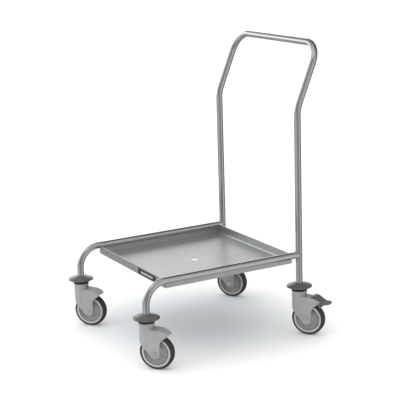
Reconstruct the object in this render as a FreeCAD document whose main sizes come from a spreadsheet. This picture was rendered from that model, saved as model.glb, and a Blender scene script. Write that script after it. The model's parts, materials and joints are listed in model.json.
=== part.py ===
"""Dish rack dolly: a bent stainless tube frame with a drip tray, on four swivel casters.

Millimetres and degrees. +Z is up and the floor is Z = 0. The push handle is at +Y, the front
lip at -Y, and "left" and "right" are as seen from the front. The origin lies on the floor,
in the middle of the dolly's outline as it stands, with its casters turned.
"""
import FreeCAD, Part
import math
import os

import Sketcher

SIZES = {
    # Frame tubes. Track and wheelbase run between leg axes, heights from the floor to tube axes.
    "tube_diameter": 25.0,
    "tube_wall": 1.5,
    "track": 556.0,
    "wheelbase": 639.0,
    "rail_height": 305.0,
    "leg_bend_radius": 80.0,
    "kink_height": 850.0,
    "kink_bend_radius": 120.0,
    "bar_height": 1077.0,
    "bar_setback": 97.0,
    "bar_corner_radius": 75.0,
    "weld_gap": 0.2,
    "cope_trim": 3.0,
    # Tray, a folded sheet pan that hangs under the side tubes.
    "sheet_thickness": 1.5,
    "tray_inset": 6.5,
    "tray_bend_gap": 1.0,
    "tray_rear_gap": 26.0,
    "tray_drop": 31.5,
    "front_lip_height": 31.5,
    "rear_wall_height": 35.5,
    "tray_bend_radius": 3.0,
    "drain_diameter": 26.0,
    "drain_offset_x": 18.0,
    "drain_offset_y": -6.0,
    # Blank label plate on the front lip.
    "label_length": 139.0,
    "label_height": 22.5,
    "label_rise": 14.5,
    "label_thickness": 0.8,
    "label_inset": 70.0,
    "label_corner_radius": 2.0,
    # How the casters stand: angle from straight back, turned towards +X.
    "front_yaw": 47.0,
    "rear_yaw": 53.0,
    # Wheel.
    "wheel_diameter": 125.0,
    "caster_trail": 35.5,
    "tyre_width": 31.0,
    "tyre_thickness": 9.4,
    "tyre_shoulder_radius": 9.0,
    "tyre_key_width": 10.0,
    "tyre_key_depth": 2.5,
    "rim_width": 29.0,
    "rim_ring_height": 9.0,
    "rim_web_thickness": 8.0,
    "hub_diameter": 34.0,
    "hub_width": 30.0,
    "hub_bearing_diameter": 22.0,
    "hub_bearing_width": 7.0,
    "hub_bore_step": 2.0,
    # Axle.
    "axle_diameter": 8.0,
    "axle_head_diameter": 15.0,
    "axle_head_height": 3.5,
    "axle_nut_flats": 13.0,
    "axle_nut_height": 6.5,
    "axle_overrun": 3.0,
    "spacer_wall": 2.0,
    "guard_thickness": 1.5,
    "guard_hub_diameter": 16.0,
    "guard_dish": 8.0,
    "guard_rim_gap": 2.0,
    # Fork.
    "head_height": 45.5,
    "neck_diameter": 56.8,
    "neck_ring_height": 8.5,
    "neck_step": 1.0,
    "fork_width": 52.0,
    "fork_gap": 38.0,
    "boss_diameter": 35.0,
    "boss_height": 1.0,
    "boss_foot_angle": 45.0,
    "well_clearance": 3.5,
    "chin_rise": 41.5,
    "hood_start_rise": 27.0,
    "hood_shoulder_reach": 22.5,
    "hood_shoulder_rise": 21.5,
    "hood_shoulder_radius": 45.0,
    "hood_tip_setback": 10.0,
    "hood_tip_rise": 8.0,
    "hood_tip_thickness": 2.5,
    "hood_corner_radius": 22.0,
    "hood_edge_radius": 7.0,
    "hood_underside_angle": 33.0,
    "hood_shell": 4.0,
    "hood_inner_width": 38.0,
    "rear_edge_radius": 30.0,
    # Swivel: two ball bearings in the fork's neck, on a stem that is clamped in the leg.
    "swivel_gap": 1.0,
    "swivel_pin_diameter": 17.0,
    "swivel_bearing_diameter": 35.0,
    "swivel_bearing_width": 10.0,
    "swivel_bearing_inset": 1.5,
    "swivel_web": 14.5,
    "swivel_web_bore": 26.0,
    "swivel_flange_diameter": 26.0,
    "circlip_thickness": 1.5,
    "circlip_width": 3.0,
    "circlip_groove_depth": 1.0,
    "stem_tail": 3.0,
    "stem_bolt_diameter": 12.0,
    "stem_nut_gap": 0.5,
    "stem_nut_flats": 18.0,
    "stem_nut_height": 10.0,
    "stem_overrun": 3.0,
    "shield_depth": 0.6,
    "bearing_ring_width": 2.5,
    # Bumper disc.
    "bumper_diameter": 96.0,
    "bumper_floor": 8.0,
    "bumper_rim_rise": 11.5,
    "bumper_rim_thickness": 4.0,
    "bumper_rim_radius": 1.9,
    "bumper_height": 24.5,
    "bumper_crown_wall": 5.0,
    "collar_diameter": 57.0,
    "collar_height": 6.5,
    # Brake on the rear casters.
    "brake_angle": 48.0,
    "brake_gap": 4.4,
    "shoe_length": 12.0,
    "shoe_thickness": 4.0,
    "shoe_width": 22.0,
    "pivot_angle": 58.0,
    "pivot_rise": 14.0,
    "pivot_pin_diameter": 6.0,
    "pin_inset": 5.5,
    "pedal_width": 30.0,
    "pedal_reach": 124.0,
    "pedal_slot_side_gap": 0.7,
    "pedal_slot_end_gap": 2.0,
    "heel_reach": 27.5,
    "heel_rise": 21.5,
    "heel_depth": 10.0,
    "hump_rise": 27.0,
    "hump_front": 10.0,
    "hump_length": 13.5,
    "hump_radius": 18.0,
    "toe_start": 24.0,
    "toe_rise": 7.0,
    "toe_drop": 6.0,
    "toe_tip_rise": 5.0,
    "toe_thickness": 5.0,
    "toe_radius": 12.0,
    "toe_corner_radius": 8.0,
    # Fits: radial clearances, and the axial gap between faces that turn past each other.
    "press_fit": 0.02,
    "running_fit": 0.05,
    "slip_fit": 0.1,
    "running_gap": 0.3,
}

FULL_TURN = 360
NUT_SIDES = 6
EDGE_SAMPLES = 5

doc = FreeCAD.newDocument("dish_rack_dolly")
sheet = doc.addObject("Spreadsheet::Sheet", "sizes")
for row, (size_name, size_value) in enumerate(SIZES.items(), start=1):
    sheet.set(f"A{row}", size_name)
    sheet.set(f"B{row}", str(size_value))
    sheet.setAlias(f"B{row}", size_name)
doc.recompute()


def number(expression):
    """Value of an expression over the sheet's cells."""
    result = sheet.evalExpression(expression)
    return float(getattr(result, "Value", result))


def total(*terms):
    """Expression for a sum."""
    return "(" + " + ".join(f"({term})" for term in terms) + ")"


def minus(term):
    """Expression for a term with its sign changed."""
    return f"(-1 * ({term}))"


def half(name):
    """Expression for half of a size in the sheet."""
    return f"(sizes.{name} / 2)"


# Places that several pieces share, worked out from the sheet.
TUBE_RADIUS = half("tube_diameter")
BORE_RADIUS = f"({TUBE_RADIUS} - sizes.tube_wall)"
PEDAL_OVERHANG = total("sizes.pedal_reach * sin(sizes.rear_yaw)",
                       f"{half('pedal_width')} * cos(sizes.rear_yaw)")
MIDDLE_X = f"(({half('bumper_diameter')} - {PEDAL_OVERHANG}) / 2)"
LEFT_X = f"({MIDDLE_X} - {half('track')})"
RIGHT_X = f"({MIDDLE_X} + {half('track')})"
HANDLE_OVERHANG = total("sizes.bar_setback", TUBE_RADIUS)
FRONT_Y = f"(({half('bumper_diameter')} - sizes.wheelbase - {HANDLE_OVERHANG}) / 2)"
REAR_Y = f"({FRONT_Y} + sizes.wheelbase)"
TRAY_SETBACK = total("sizes.leg_bend_radius", "sizes.tray_bend_gap")
TRAY_Y = f"({FRONT_Y} + {TRAY_SETBACK})"
TRAY_LENGTH = f"(sizes.wheelbase - {TRAY_SETBACK} - sizes.tray_rear_gap)"
TRAY_HALF_WIDTH = f"({half('track')} - sizes.tray_inset)"
TRAY_Z = "(sizes.rail_height - sizes.tray_drop)"

WHEEL_RADIUS = half("wheel_diameter")
AXLE_Y = "sizes.caster_trail"
AXLE_Z = WHEEL_RADIUS
NECK_TOP = "(sizes.wheel_diameter + sizes.head_height)"
NECK_RADIUS = half("neck_diameter")
COLLAR_BOTTOM = f"({NECK_TOP} + sizes.swivel_gap)"
LEG_FOOT = f"({COLLAR_BOTTOM} + sizes.bumper_floor)"
PIN_RADIUS = half("swivel_pin_diameter")
BOLT_RADIUS = half("stem_bolt_diameter")
UPPER_BEARING_TOP = f"({NECK_TOP} - sizes.swivel_bearing_inset)"
UPPER_BEARING_FOOT = f"({UPPER_BEARING_TOP} - sizes.swivel_bearing_width)"
LOWER_BEARING_TOP = f"({UPPER_BEARING_FOOT} - sizes.swivel_web)"
LOWER_BEARING_FOOT = f"({LOWER_BEARING_TOP} - sizes.swivel_bearing_width)"
CIRCLIP_TOP = f"({LOWER_BEARING_FOOT} - sizes.running_gap)"
CIRCLIP_FOOT = f"({CIRCLIP_TOP} - sizes.circlip_thickness)"
STEM_NUT_TOP = "(sizes.rail_height - sizes.leg_bend_radius - sizes.stem_nut_gap)"
EXPANDER_TOP = f"({STEM_NUT_TOP} - sizes.stem_nut_height)"

HUB_HALF = half("hub_width")
BEARING_INNER_FACE = f"({HUB_HALF} - sizes.hub_bearing_width)"
AXLE_RADIUS = half("axle_diameter")
BOSS_RADIUS = half("boss_diameter")
BOSS_FACE = f"({half('fork_width')} + sizes.boss_height)"
RIM_RADIUS = f"({WHEEL_RADIUS} - sizes.tyre_thickness)"
RING_INNER_RADIUS = f"({RIM_RADIUS} - sizes.rim_ring_height)"

TIP_Y = f"({AXLE_Y} + {WHEEL_RADIUS} - sizes.hood_tip_setback)"
TIP_Z = "(sizes.wheel_diameter + sizes.hood_tip_rise)"
TIP_FOOT = f"({TIP_Z} - sizes.hood_tip_thickness)"
SHOULDER_Y = f"({AXLE_Y} + sizes.hood_shoulder_reach)"
SHOULDER_Z = "(sizes.wheel_diameter + sizes.hood_shoulder_rise)"
HOOD_Z = "(sizes.wheel_diameter + sizes.hood_start_rise)"
FAR_Y = f"({TIP_Y} + {WHEEL_RADIUS})"
REAR_EDGE_Y = f"({AXLE_Y} + {BOSS_RADIUS})"
REAR_EDGE_Z = f"({TIP_FOOT} - ({TIP_Y} - {REAR_EDGE_Y}) * tan(sizes.hood_underside_angle))"

PIVOT_RADIUS = f"({WHEEL_RADIUS} + sizes.pivot_rise)"
PIVOT_Y = f"({AXLE_Y} + {PIVOT_RADIUS} * cos(sizes.pivot_angle))"
PIVOT_Z = f"({AXLE_Z} + {PIVOT_RADIUS} * sin(sizes.pivot_angle))"
PIVOT_PIN_RADIUS = half("pivot_pin_diameter")


def origin_plane(body, role):
    """One of a body's own origin planes."""
    return next(item for item in body.Origin.OriginFeatures if item.Role == role)


def new_body(label, base=("0", "0", "0"), turn=None):
    """Empty body, placed by expressions and turned clockwise, as seen from above, by one."""
    body = doc.addObject("PartDesign::Body", label)
    body.Label = label
    body.AllowCompound = True
    if turn:
        rotation = FreeCAD.Rotation(FreeCAD.Vector(0, 0, -1), number(turn))
        body.Placement = FreeCAD.Placement(FreeCAD.Vector(), rotation)
        body.setExpression("Placement.Rotation.Angle", turn)
    for axis, expression in zip("xyz", base):
        body.setExpression(f"Placement.Base.{axis}", expression)
    return body


def new_sketch(body, role, offset=("0", "0", "0"), tilt=None):
    """Sketch on one of the body's origin planes, moved by an offset and tilted back by an angle."""
    sketch = body.newObject("Sketcher::SketchObject", f"{body.Label}_sketch")
    sketch.AttachmentSupport = (origin_plane(body, role), [""])
    sketch.MapMode = "FlatFace"
    if tilt:
        sketch.AttachmentOffset = FreeCAD.Placement(
            FreeCAD.Vector(), FreeCAD.Rotation(FreeCAD.Vector(-1, 0, 0), number(tilt)))
        sketch.setExpression("AttachmentOffset.Rotation.Angle", tilt)
    for axis, expression in zip("xyz", offset):
        sketch.setExpression(f"AttachmentOffset.Base.{axis}", expression)
    return sketch


def pin_point(sketch, geometry, point, x, y):
    """Tie a point of a sketch to two expressions."""
    for kind, expression in (("DistanceX", x), ("DistanceY", y)):
        index = sketch.addConstraint(
            Sketcher.Constraint(kind, -1, 1, geometry, point, number(expression)))
        sketch.setExpression(f"Constraints[{index}]", expression)


def draw_outline(sketch, corners):
    """Closed outline of straight lines through corners, each a pair of expressions."""
    points = [FreeCAD.Vector(number(x), number(y), 0) for x, y in corners]
    first = sketch.GeometryCount
    count = len(points)
    lines = [Part.LineSegment(points[i], points[(i + 1) % count]) for i in range(count)]
    sketch.addGeometry(lines, False)
    sketch.addConstraint([
        Sketcher.Constraint("Coincident", first + i, 2, first + (i + 1) % count, 1)
        for i in range(count)])
    for i, (x, y) in enumerate(corners):
        pin_point(sketch, first + i, 1, x, y)


def draw_circle(sketch, radius, x="0", y="0"):
    """Circle with its centre and radius tied to expressions."""
    middle = FreeCAD.Vector(number(x), number(y), 0)
    circle = Part.Circle(middle, FreeCAD.Vector(0, 0, 1), number(radius))
    index = sketch.addGeometry(circle, False)
    pin_point(sketch, index, 3, x, y)
    constraint = sketch.addConstraint(Sketcher.Constraint("Radius", index, number(radius)))
    sketch.setExpression(f"Constraints[{constraint}]", radius)


def draw_bend(sketch, start, corner, end, radius):
    """Open path of two straight runs through three points, with a tangent arc at the corner."""
    places = [FreeCAD.Vector(number(x), number(y), 0) for x, y in (start, corner, end)]
    incoming = (places[0] - places[1]).normalize()
    outgoing = (places[2] - places[1]).normalize()
    bend = number(radius)
    reach = bend / math.tan(incoming.getAngle(outgoing) / 2)
    first_end = places[1] + incoming * reach
    second_start = places[1] + outgoing * reach
    centre = places[1] + (incoming + outgoing).normalize() * math.hypot(reach, bend)
    turns_left = incoming.cross(outgoing).z < 0
    ends = (first_end, second_start) if turns_left else (second_start, first_end)
    angles = [math.atan2(point.y - centre.y, point.x - centre.x) for point in ends]
    circle = Part.Circle(centre, FreeCAD.Vector(0, 0, 1), bend)
    first_run, arc, second_run = sketch.addGeometry([
        Part.LineSegment(places[0], first_end),
        Part.ArcOfCircle(circle, *angles),
        Part.LineSegment(second_start, places[2])], False)
    corner_point = sketch.addGeometry(Part.Point(places[1]), True)
    arc_ends = (1, 2) if turns_left else (2, 1)
    sketch.addConstraint([
        Sketcher.Constraint("Tangent", first_run, 2, arc, arc_ends[0]),
        Sketcher.Constraint("Tangent", arc, arc_ends[1], second_run, 1),
        Sketcher.Constraint("PointOnObject", corner_point, 1, first_run),
        Sketcher.Constraint("PointOnObject", corner_point, 1, second_run)])
    pin_point(sketch, first_run, 1, *start)
    pin_point(sketch, corner_point, 1, *corner)
    pin_point(sketch, second_run, 2, *end)
    index = sketch.addConstraint(Sketcher.Constraint("Radius", arc, bend))
    sketch.setExpression(f"Constraints[{index}]", radius)


def revolve(body, sketch, axis):
    """Solid of revolution about one axis of its sketch."""
    feature = body.newObject("PartDesign::Revolution", f"{body.Label}_turned")
    feature.Profile = sketch
    feature.ReferenceAxis = (sketch, [axis])
    feature.Angle = FULL_TURN
    return feature


def pad(body, sketch, length, symmetric=False):
    """Pad a sketch along its normal, or to both sides of it."""
    feature = body.newObject("PartDesign::Pad", f"{body.Label}_pad")
    feature.Profile = sketch
    feature.SideType = "Symmetric" if symmetric else "One side"
    feature.setExpression("Length", length)
    return feature


def pocket(body, sketch, length, symmetric=False):
    """Cut a sketch against its normal, or to both sides of it, and check that it cuts."""
    doc.recompute()
    before = body.Shape.Volume
    feature = body.newObject("PartDesign::Pocket", f"{body.Label}_pocket")
    feature.Profile = sketch
    feature.SideType = "Symmetric" if symmetric else "One side"
    feature.setExpression("Length", length)
    doc.recompute()
    if not body.Shape.Volume < before:
        raise RuntimeError(f"{feature.Label} cuts nothing")
    return feature


def pipe(body, profile, path):
    """Sweep a profile along a path."""
    feature = body.newObject("PartDesign::AdditivePipe", f"{body.Label}_pipe")
    feature.Profile = profile
    feature.Spine = path
    return feature


def fillet(body, test, radius):
    """Round the edges of the body's tip that pass a test."""
    doc.recompute()
    base = body.Tip
    names = [f"Edge{i + 1}" for i, edge in enumerate(base.Shape.Edges) if test(edge)]
    if not names:
        raise RuntimeError(f"{body.Label} has no such edge to round")
    feature = body.newObject("PartDesign::Fillet", f"{body.Label}_fillet")
    feature.Base = (base, names)
    feature.setExpression("Radius", radius)
    doc.recompute()
    return feature


NEAR = 1e-4


def at(value, expression):
    """Whether a measured value equals an expression."""
    return abs(value - number(expression)) < NEAR


def across_at(y, z):
    """Test for edges parallel to X through a point of the YZ plane."""
    def test(edge):
        return all(at(point.Point.y, y) and at(point.Point.z, z) for point in edge.Vertexes)
    return test


def upright_at(y):
    """Test for edges parallel to Z at a place along Y."""
    def test(edge):
        first, last = edge.Vertexes[0].Point, edge.Vertexes[-1].Point
        upright = abs(first.x - last.x) < NEAR and abs(first.z - last.z) > NEAR
        return upright and at(first.y, y) and at(last.y, y)
    return test


def on_hood_rim(edge):
    """Whether an edge runs round the rim of the fork's hood, outside the lines across its top."""
    points = edge.discretize(EDGE_SAMPLES)
    if min(point.z for point in points) < number(TIP_Z) - NEAR:
        return False
    if all(at(abs(point.x), half("fork_width")) for point in points):
        return True
    if all(at(point.y, TIP_Y) for point in points):
        return True
    turns = max(point.y for point in points) - min(point.y for point in points) > NEAR
    return turns and min(point.y for point in points) > number(SHOULDER_Y)


def wheel_circle(edge, radius):
    """Whether an edge is a circle of a radius."""
    return isinstance(edge.Curve, Part.Circle) and at(edge.Curve.Radius, radius)


def ring_at(radius, z):
    """Test for circles about the Z axis with a radius, at a height."""
    def test(edge):
        curve = edge.Curve
        if not isinstance(curve, Part.Circle):
            return False
        return at(curve.Radius, radius) and at(curve.Center.z, z)
    return test


def tube_section(body, role, offset, x="0", y="0"):
    """Ring-shaped section of the frame's tube."""
    sketch = new_sketch(body, role, offset)
    draw_circle(sketch, TUBE_RADIUS, x, y)
    draw_circle(sketch, BORE_RADIUS, x, y)
    return sketch


def build_side_tube(label, x):
    """Front leg and side rail, bent from one tube and coped to the rear upright."""
    body = new_body(label, (x, FRONT_Y, "0"))
    section = tube_section(body, "XY_Plane", ("0", "0", LEG_FOOT))
    path = new_sketch(body, "YZ_Plane")
    rail_end = ("sizes.wheelbase - sizes.cope_trim", "sizes.rail_height")
    draw_bend(path, ("0", LEG_FOOT), ("0", "sizes.rail_height"), rail_end,
              "sizes.leg_bend_radius")
    pipe(body, section, path)
    cope = new_sketch(body, "XY_Plane", ("0", "0", "sizes.rail_height + sizes.tube_diameter"))
    draw_circle(cope, f"{TUBE_RADIUS} + sizes.weld_gap", "0", "sizes.wheelbase")
    pocket(body, cope, "2 * sizes.tube_diameter")
    return body


def build_push_handle():
    """Both rear uprights, the leaning shanks and the push bar, bent from one tube."""
    body = new_body("push_handle", (MIDDLE_X, REAR_Y, "0"))
    rise = "(sizes.bar_height - sizes.kink_height)"
    lean = f"atan2(sizes.bar_setback; {rise})"
    shank = f"sqrt({rise} ^ 2 + sizes.bar_setback ^ 2)"
    bar_section = tube_section(body, "YZ_Plane", ("0", "0", "0"),
                               "sizes.bar_setback", "sizes.bar_height")
    hoop = new_sketch(body, "XZ_Plane", ("0", "sizes.kink_height", "0"), lean)
    draw_bend(hoop, ("0", shank), (half("track"), shank), (half("track"), f"{shank} / 2"),
              "sizes.bar_corner_radius")
    hoop_pipe = pipe(body, bar_section, hoop)
    foot_section = tube_section(body, "XY_Plane", (half("track"), "0", LEG_FOOT))
    upright = new_sketch(body, "YZ_Plane", ("0", "0", half("track")))
    shank_middle = ("sizes.bar_setback / 2", "(sizes.bar_height + sizes.kink_height) / 2")
    draw_bend(upright, ("0", LEG_FOOT), ("0", "sizes.kink_height"), shank_middle,
              "sizes.kink_bend_radius")
    upright_pipe = pipe(body, foot_section, upright)
    mirror = body.newObject("PartDesign::Mirrored", "push_handle_mirror")
    mirror.Originals = [hoop_pipe, upright_pipe]
    mirror.MirrorPlane = (origin_plane(body, "YZ_Plane"), [""])
    body.Tip = mirror
    return body


def draw_rectangle(sketch, low_x, high_x, low_y, high_y):
    """Rectangle between four expressions."""
    draw_outline(sketch, [(low_x, low_y), (high_x, low_y), (high_x, high_y), (low_x, high_y)])


def build_tray():
    """Folded pan with a front lip, a rear wall, side walls that meet the tubes, and a drain."""
    body = new_body("tray", (MIDDLE_X, TRAY_Y, TRAY_Z))
    sheet_edge = "sizes.sheet_thickness"
    height = "sizes.rear_wall_height"
    outer = new_sketch(body, "XY_Plane")
    draw_rectangle(outer, minus(TRAY_HALF_WIDTH), TRAY_HALF_WIDTH, "0", TRAY_LENGTH)
    pad(body, outer, height)
    fillet(body, lambda edge: edge.BoundBox.ZMin < NEAR, "sizes.tray_bend_radius")
    inner_half = f"{TRAY_HALF_WIDTH} - {sheet_edge}"
    inner = new_sketch(body, "XY_Plane", ("0", "0", height))
    draw_rectangle(inner, minus(inner_half), inner_half, sheet_edge,
                   f"{TRAY_LENGTH} - {sheet_edge}")
    pocket(body, inner, f"{height} - {sheet_edge}")

    def in_the_pan(edge):
        box = edge.BoundBox
        inside = box.XMax < number(TRAY_HALF_WIDTH) - NEAR and box.XMin > NEAR - number(TRAY_HALF_WIDTH)
        inside = inside and box.YMin > NEAR and box.YMax < number(TRAY_LENGTH) - NEAR
        return inside and at(box.ZMin, sheet_edge)

    fillet(body, in_the_pan, "sizes.tray_bend_radius - sizes.sheet_thickness")
    front = new_sketch(body, "XY_Plane", ("0", "0", height))
    draw_rectangle(front, minus("sizes.track"), "sizes.track", minus(TRAY_LENGTH),
                   f"{TRAY_LENGTH} / 2")
    pocket(body, front, f"{height} - sizes.front_lip_height")
    tube_side = f"sizes.track / 2 - {TUBE_RADIUS} - sizes.weld_gap"
    seat = f"sqrt(max({TUBE_RADIUS} ^ 2 - sizes.tray_inset ^ 2; 0))"
    side_top = f"sizes.tray_drop - {seat} - sizes.weld_gap"
    sides = new_sketch(body, "XY_Plane", ("0", "0", height))
    for low, high in ((tube_side, "sizes.track"), (minus("sizes.track"), minus(tube_side))):
        draw_rectangle(sides, low, high, minus(TRAY_LENGTH), f"2 * ({TRAY_LENGTH})")
    pocket(body, sides, f"{height} - ({side_top})")
    drain = new_sketch(body, "XY_Plane", ("0", "0", height))
    draw_circle(drain, half("drain_diameter"), "sizes.drain_offset_x",
                f"{TRAY_LENGTH} / 2 + sizes.drain_offset_y")
    pocket(body, drain, f"2 * {height}")
    return body


def build_label_plate():
    """Blank plate on the outside of the front lip."""
    middle_x = f"{MIDDLE_X} + {TRAY_HALF_WIDTH} - sizes.label_inset - {half('label_length')}"
    body = new_body("label_plate", (middle_x, TRAY_Y, f"{TRAY_Z} + sizes.label_rise"))
    outline = new_sketch(body, "XZ_Plane")
    draw_rectangle(outline, minus(half("label_length")), half("label_length"),
                   minus(half("label_height")), half("label_height"))
    pad(body, outline, "sizes.label_thickness")
    fillet(body, lambda edge: at(edge.Length, "sizes.label_thickness"), "sizes.label_corner_radius")
    return body


def turned_on_z(body, *outlines):
    """Solids turned about the body's Z axis from outlines of radius and height."""
    sketch = new_sketch(body, "XZ_Plane")
    for outline in outlines:
        draw_outline(sketch, outline)
    return revolve(body, sketch, "V_Axis")


def turned_on_axle(body, *outlines, y=AXLE_Y, z=AXLE_Z):
    """Solids turned about an axis along the body's X, from outlines of place along it and radius."""
    sketch = new_sketch(body, "XY_Plane", ("0", y, z))
    for outline in outlines:
        draw_outline(sketch, outline)
    return revolve(body, sketch, "H_Axis")


def bearing_outline(low, high, inner, outer):
    """Outline of a shielded ball bearing, as places along the axis and radii."""
    inner_land = f"{inner} + sizes.bearing_ring_width"
    outer_land = f"{outer} - sizes.bearing_ring_width"
    low_shield = f"{low} + sizes.shield_depth"
    high_shield = f"{high} - sizes.shield_depth"
    return [(low, inner), (low, inner_land), (low_shield, inner_land), (low_shield, outer_land),
            (low, outer_land), (low, outer), (high, outer), (high, outer_land),
            (high_shield, outer_land), (high_shield, inner_land), (high, inner_land), (high, inner)]


def mirrored(outline):
    """Outline on the other side of the wheel's middle plane."""
    return [(minus(place), radius) for place, radius in outline]


def hexagon(across_flats, x="0", y="0"):
    """Corners of a hexagon."""
    corner = f"{across_flats} / sqrt(3)"
    angles = [FULL_TURN * side / NUT_SIDES for side in range(NUT_SIDES)]
    return [(f"{x} + {corner} * cos({angle})", f"{y} + {corner} * sin({angle})") for angle in angles]


class Caster:
    """One swivel caster with its bumper disc, in a frame at the foot of its leg's axis.

    Before its turn the wheel trails along +Y and its axle lies along X.
    """

    def __init__(self, corner, x, y, turn):
        self.corner = corner
        self.place = (x, y, "0")
        self.turn = turn

    def body(self, piece):
        """Empty body for one piece of this caster."""
        return new_body(f"{self.corner}_{piece}", self.place, self.turn)

    def bumper_disc(self):
        """Saucer-shaped bumper that seats the leg's foot and stands on the stem's flange."""
        body = self.body("bumper_disc")
        rim = half("bumper_diameter")
        hole = f"{BOLT_RADIUS} + sizes.slip_fit"
        socket = f"{TUBE_RADIUS} + sizes.slip_fit"
        rim_foot = f"{COLLAR_BOTTOM} + sizes.bumper_rim_rise"
        rim_top = f"{rim_foot} + sizes.bumper_rim_thickness"
        crown = f"{COLLAR_BOTTOM} + sizes.bumper_height"
        turned_on_z(body, [
            (hole, COLLAR_BOTTOM), (half("collar_diameter"), COLLAR_BOTTOM),
            (half("collar_diameter"), f"{COLLAR_BOTTOM} + sizes.collar_height"),
            (rim, rim_foot), (rim, rim_top),
            (f"{socket} + sizes.bumper_crown_wall", crown), (socket, crown),
            (socket, LEG_FOOT), (hole, LEG_FOOT)])
        fillet(body, lambda edge: ring_at(rim, rim_foot)(edge) or ring_at(rim, rim_top)(edge),
               "sizes.bumper_rim_radius")
        return body

    def swivel_stem(self):
        """Stem with a bearing pin below its flange and an expander bolt above it."""
        body = self.body("swivel_stem")
        groove = f"{PIN_RADIUS} - sizes.circlip_groove_depth"
        flange_foot = f"{UPPER_BEARING_TOP} + sizes.running_gap"
        stem_foot = f"{CIRCLIP_FOOT} - sizes.stem_tail"
        stem_top = f"{STEM_NUT_TOP} + sizes.stem_overrun"
        turned_on_z(body, [
            ("0", stem_foot), (PIN_RADIUS, stem_foot), (PIN_RADIUS, CIRCLIP_FOOT),
            (groove, CIRCLIP_FOOT), (groove, CIRCLIP_TOP), (PIN_RADIUS, CIRCLIP_TOP),
            (PIN_RADIUS, flange_foot), (half("swivel_flange_diameter"), flange_foot),
            (half("swivel_flange_diameter"), COLLAR_BOTTOM), (BOLT_RADIUS, COLLAR_BOTTOM),
            (BOLT_RADIUS, stem_top), ("0", stem_top)])
        return body

    def stem_circlip(self):
        """Ring that holds the fork's lower bearing on the stem."""
        body = self.body("stem_circlip")
        inner = f"{PIN_RADIUS} - sizes.circlip_groove_depth + sizes.running_fit"
        outer = f"{PIN_RADIUS} + sizes.circlip_width"
        foot = f"{CIRCLIP_FOOT} + sizes.running_fit"
        top = f"{CIRCLIP_TOP} - sizes.running_fit"
        turned_on_z(body, [(inner, foot), (outer, foot), (outer, top), (inner, top)])
        return body

    def tube_expander(self):
        """Rubber sleeve that the stem's bolt swells inside the leg."""
        body = self.body("tube_expander")
        inner = f"{BOLT_RADIUS} + sizes.slip_fit"
        outer = f"{BORE_RADIUS} - sizes.slip_fit"
        turned_on_z(body, [(inner, LEG_FOOT), (outer, LEG_FOOT), (outer, EXPANDER_TOP),
                           (inner, EXPANDER_TOP)])
        return body

    def stem_nut(self):
        """Nut that draws the expander tight."""
        body = self.body("stem_nut")
        sketch = new_sketch(body, "XY_Plane", ("0", "0", EXPANDER_TOP))
        draw_outline(sketch, hexagon("sizes.stem_nut_flats"))
        draw_circle(sketch, f"{BOLT_RADIUS} + sizes.slip_fit")
        pad(body, sketch, "sizes.stem_nut_height")
        return body

    def swivel_bearings(self):
        """Two ball bearings in the fork's neck."""
        body = self.body("swivel_bearings")
        inner = f"{PIN_RADIUS} + sizes.running_fit"
        outer = half("swivel_bearing_diameter")
        spans = ((UPPER_BEARING_FOOT, UPPER_BEARING_TOP), (LOWER_BEARING_FOOT, LOWER_BEARING_TOP))
        outlines = [bearing_outline(low, high, inner, outer) for low, high in spans]
        turned_on_z(body, *[[(radius, place) for place, radius in item] for item in outlines])
        return body

    def fork(self, braked):
        """Plastic fork: a round neck, two legs down to the axle and a hood over the wheel."""
        body = self.body("fork")
        chin_z = f"{AXLE_Z} + sizes.chin_rise"
        leg_foot = (f"{AXLE_Y} - {BOSS_RADIUS} * cos(sizes.boss_foot_angle)",
                    f"{AXLE_Z} - {BOSS_RADIUS} * sin(sizes.boss_foot_angle)")
        chin_slope = f"(({chin_z} - ({leg_foot[1]})) / ({leg_foot[0]} + {NECK_RADIUS}))"
        chin_middle = ("0", f"{chin_z} - {chin_slope} * {NECK_RADIUS}")
        flank = new_sketch(body, "YZ_Plane")
        draw_outline(flank, [
            ("0", HOOD_Z), (SHOULDER_Y, SHOULDER_Z), (TIP_Y, TIP_Z), (TIP_Y, AXLE_Z),
            (REAR_EDGE_Y, AXLE_Z), leg_foot, chin_middle])
        pad(body, flank, "sizes.fork_width", symmetric=True)
        fillet(body, upright_at(TIP_Y), "sizes.hood_corner_radius")
        fillet(body, across_at(SHOULDER_Y, SHOULDER_Z), "sizes.hood_shoulder_radius")
        fillet(body, on_hood_rim, "sizes.hood_edge_radius")
        self.cut_rear_edge(body)
        self.add_neck(body, chin_middle[1])
        self.cut_chin(body, chin_z, chin_slope, leg_foot)
        bosses = new_sketch(body, "YZ_Plane")
        draw_circle(bosses, BOSS_RADIUS, AXLE_Y, AXLE_Z)
        pad(body, bosses, f"2 * ({BOSS_FACE})", symmetric=True)
        self.cut_wheel_well(body)
        self.bore_neck(body)
        self.bore_across(body, AXLE_Y, AXLE_Z, f"{AXLE_RADIUS} + sizes.slip_fit")
        if braked:
            self.cut_pedal_slot(body)
            self.bore_across(body, PIVOT_Y, PIVOT_Z, f"{PIVOT_PIN_RADIUS} + sizes.press_fit")
        return body

    @staticmethod
    def cut_rear_edge(body):
        """Take away what lies behind the fork's legs and under the hood's tip."""
        rear = new_sketch(body, "YZ_Plane")
        draw_outline(rear, [
            (FAR_Y, TIP_FOOT), (TIP_Y, TIP_FOOT), (REAR_EDGE_Y, REAR_EDGE_Z), (REAR_EDGE_Y, "0"),
            (FAR_Y, "0")])
        pocket(body, rear, "2 * sizes.fork_width", symmetric=True)
        fillet(body, across_at(REAR_EDGE_Y, REAR_EDGE_Z), "sizes.rear_edge_radius")

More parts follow.
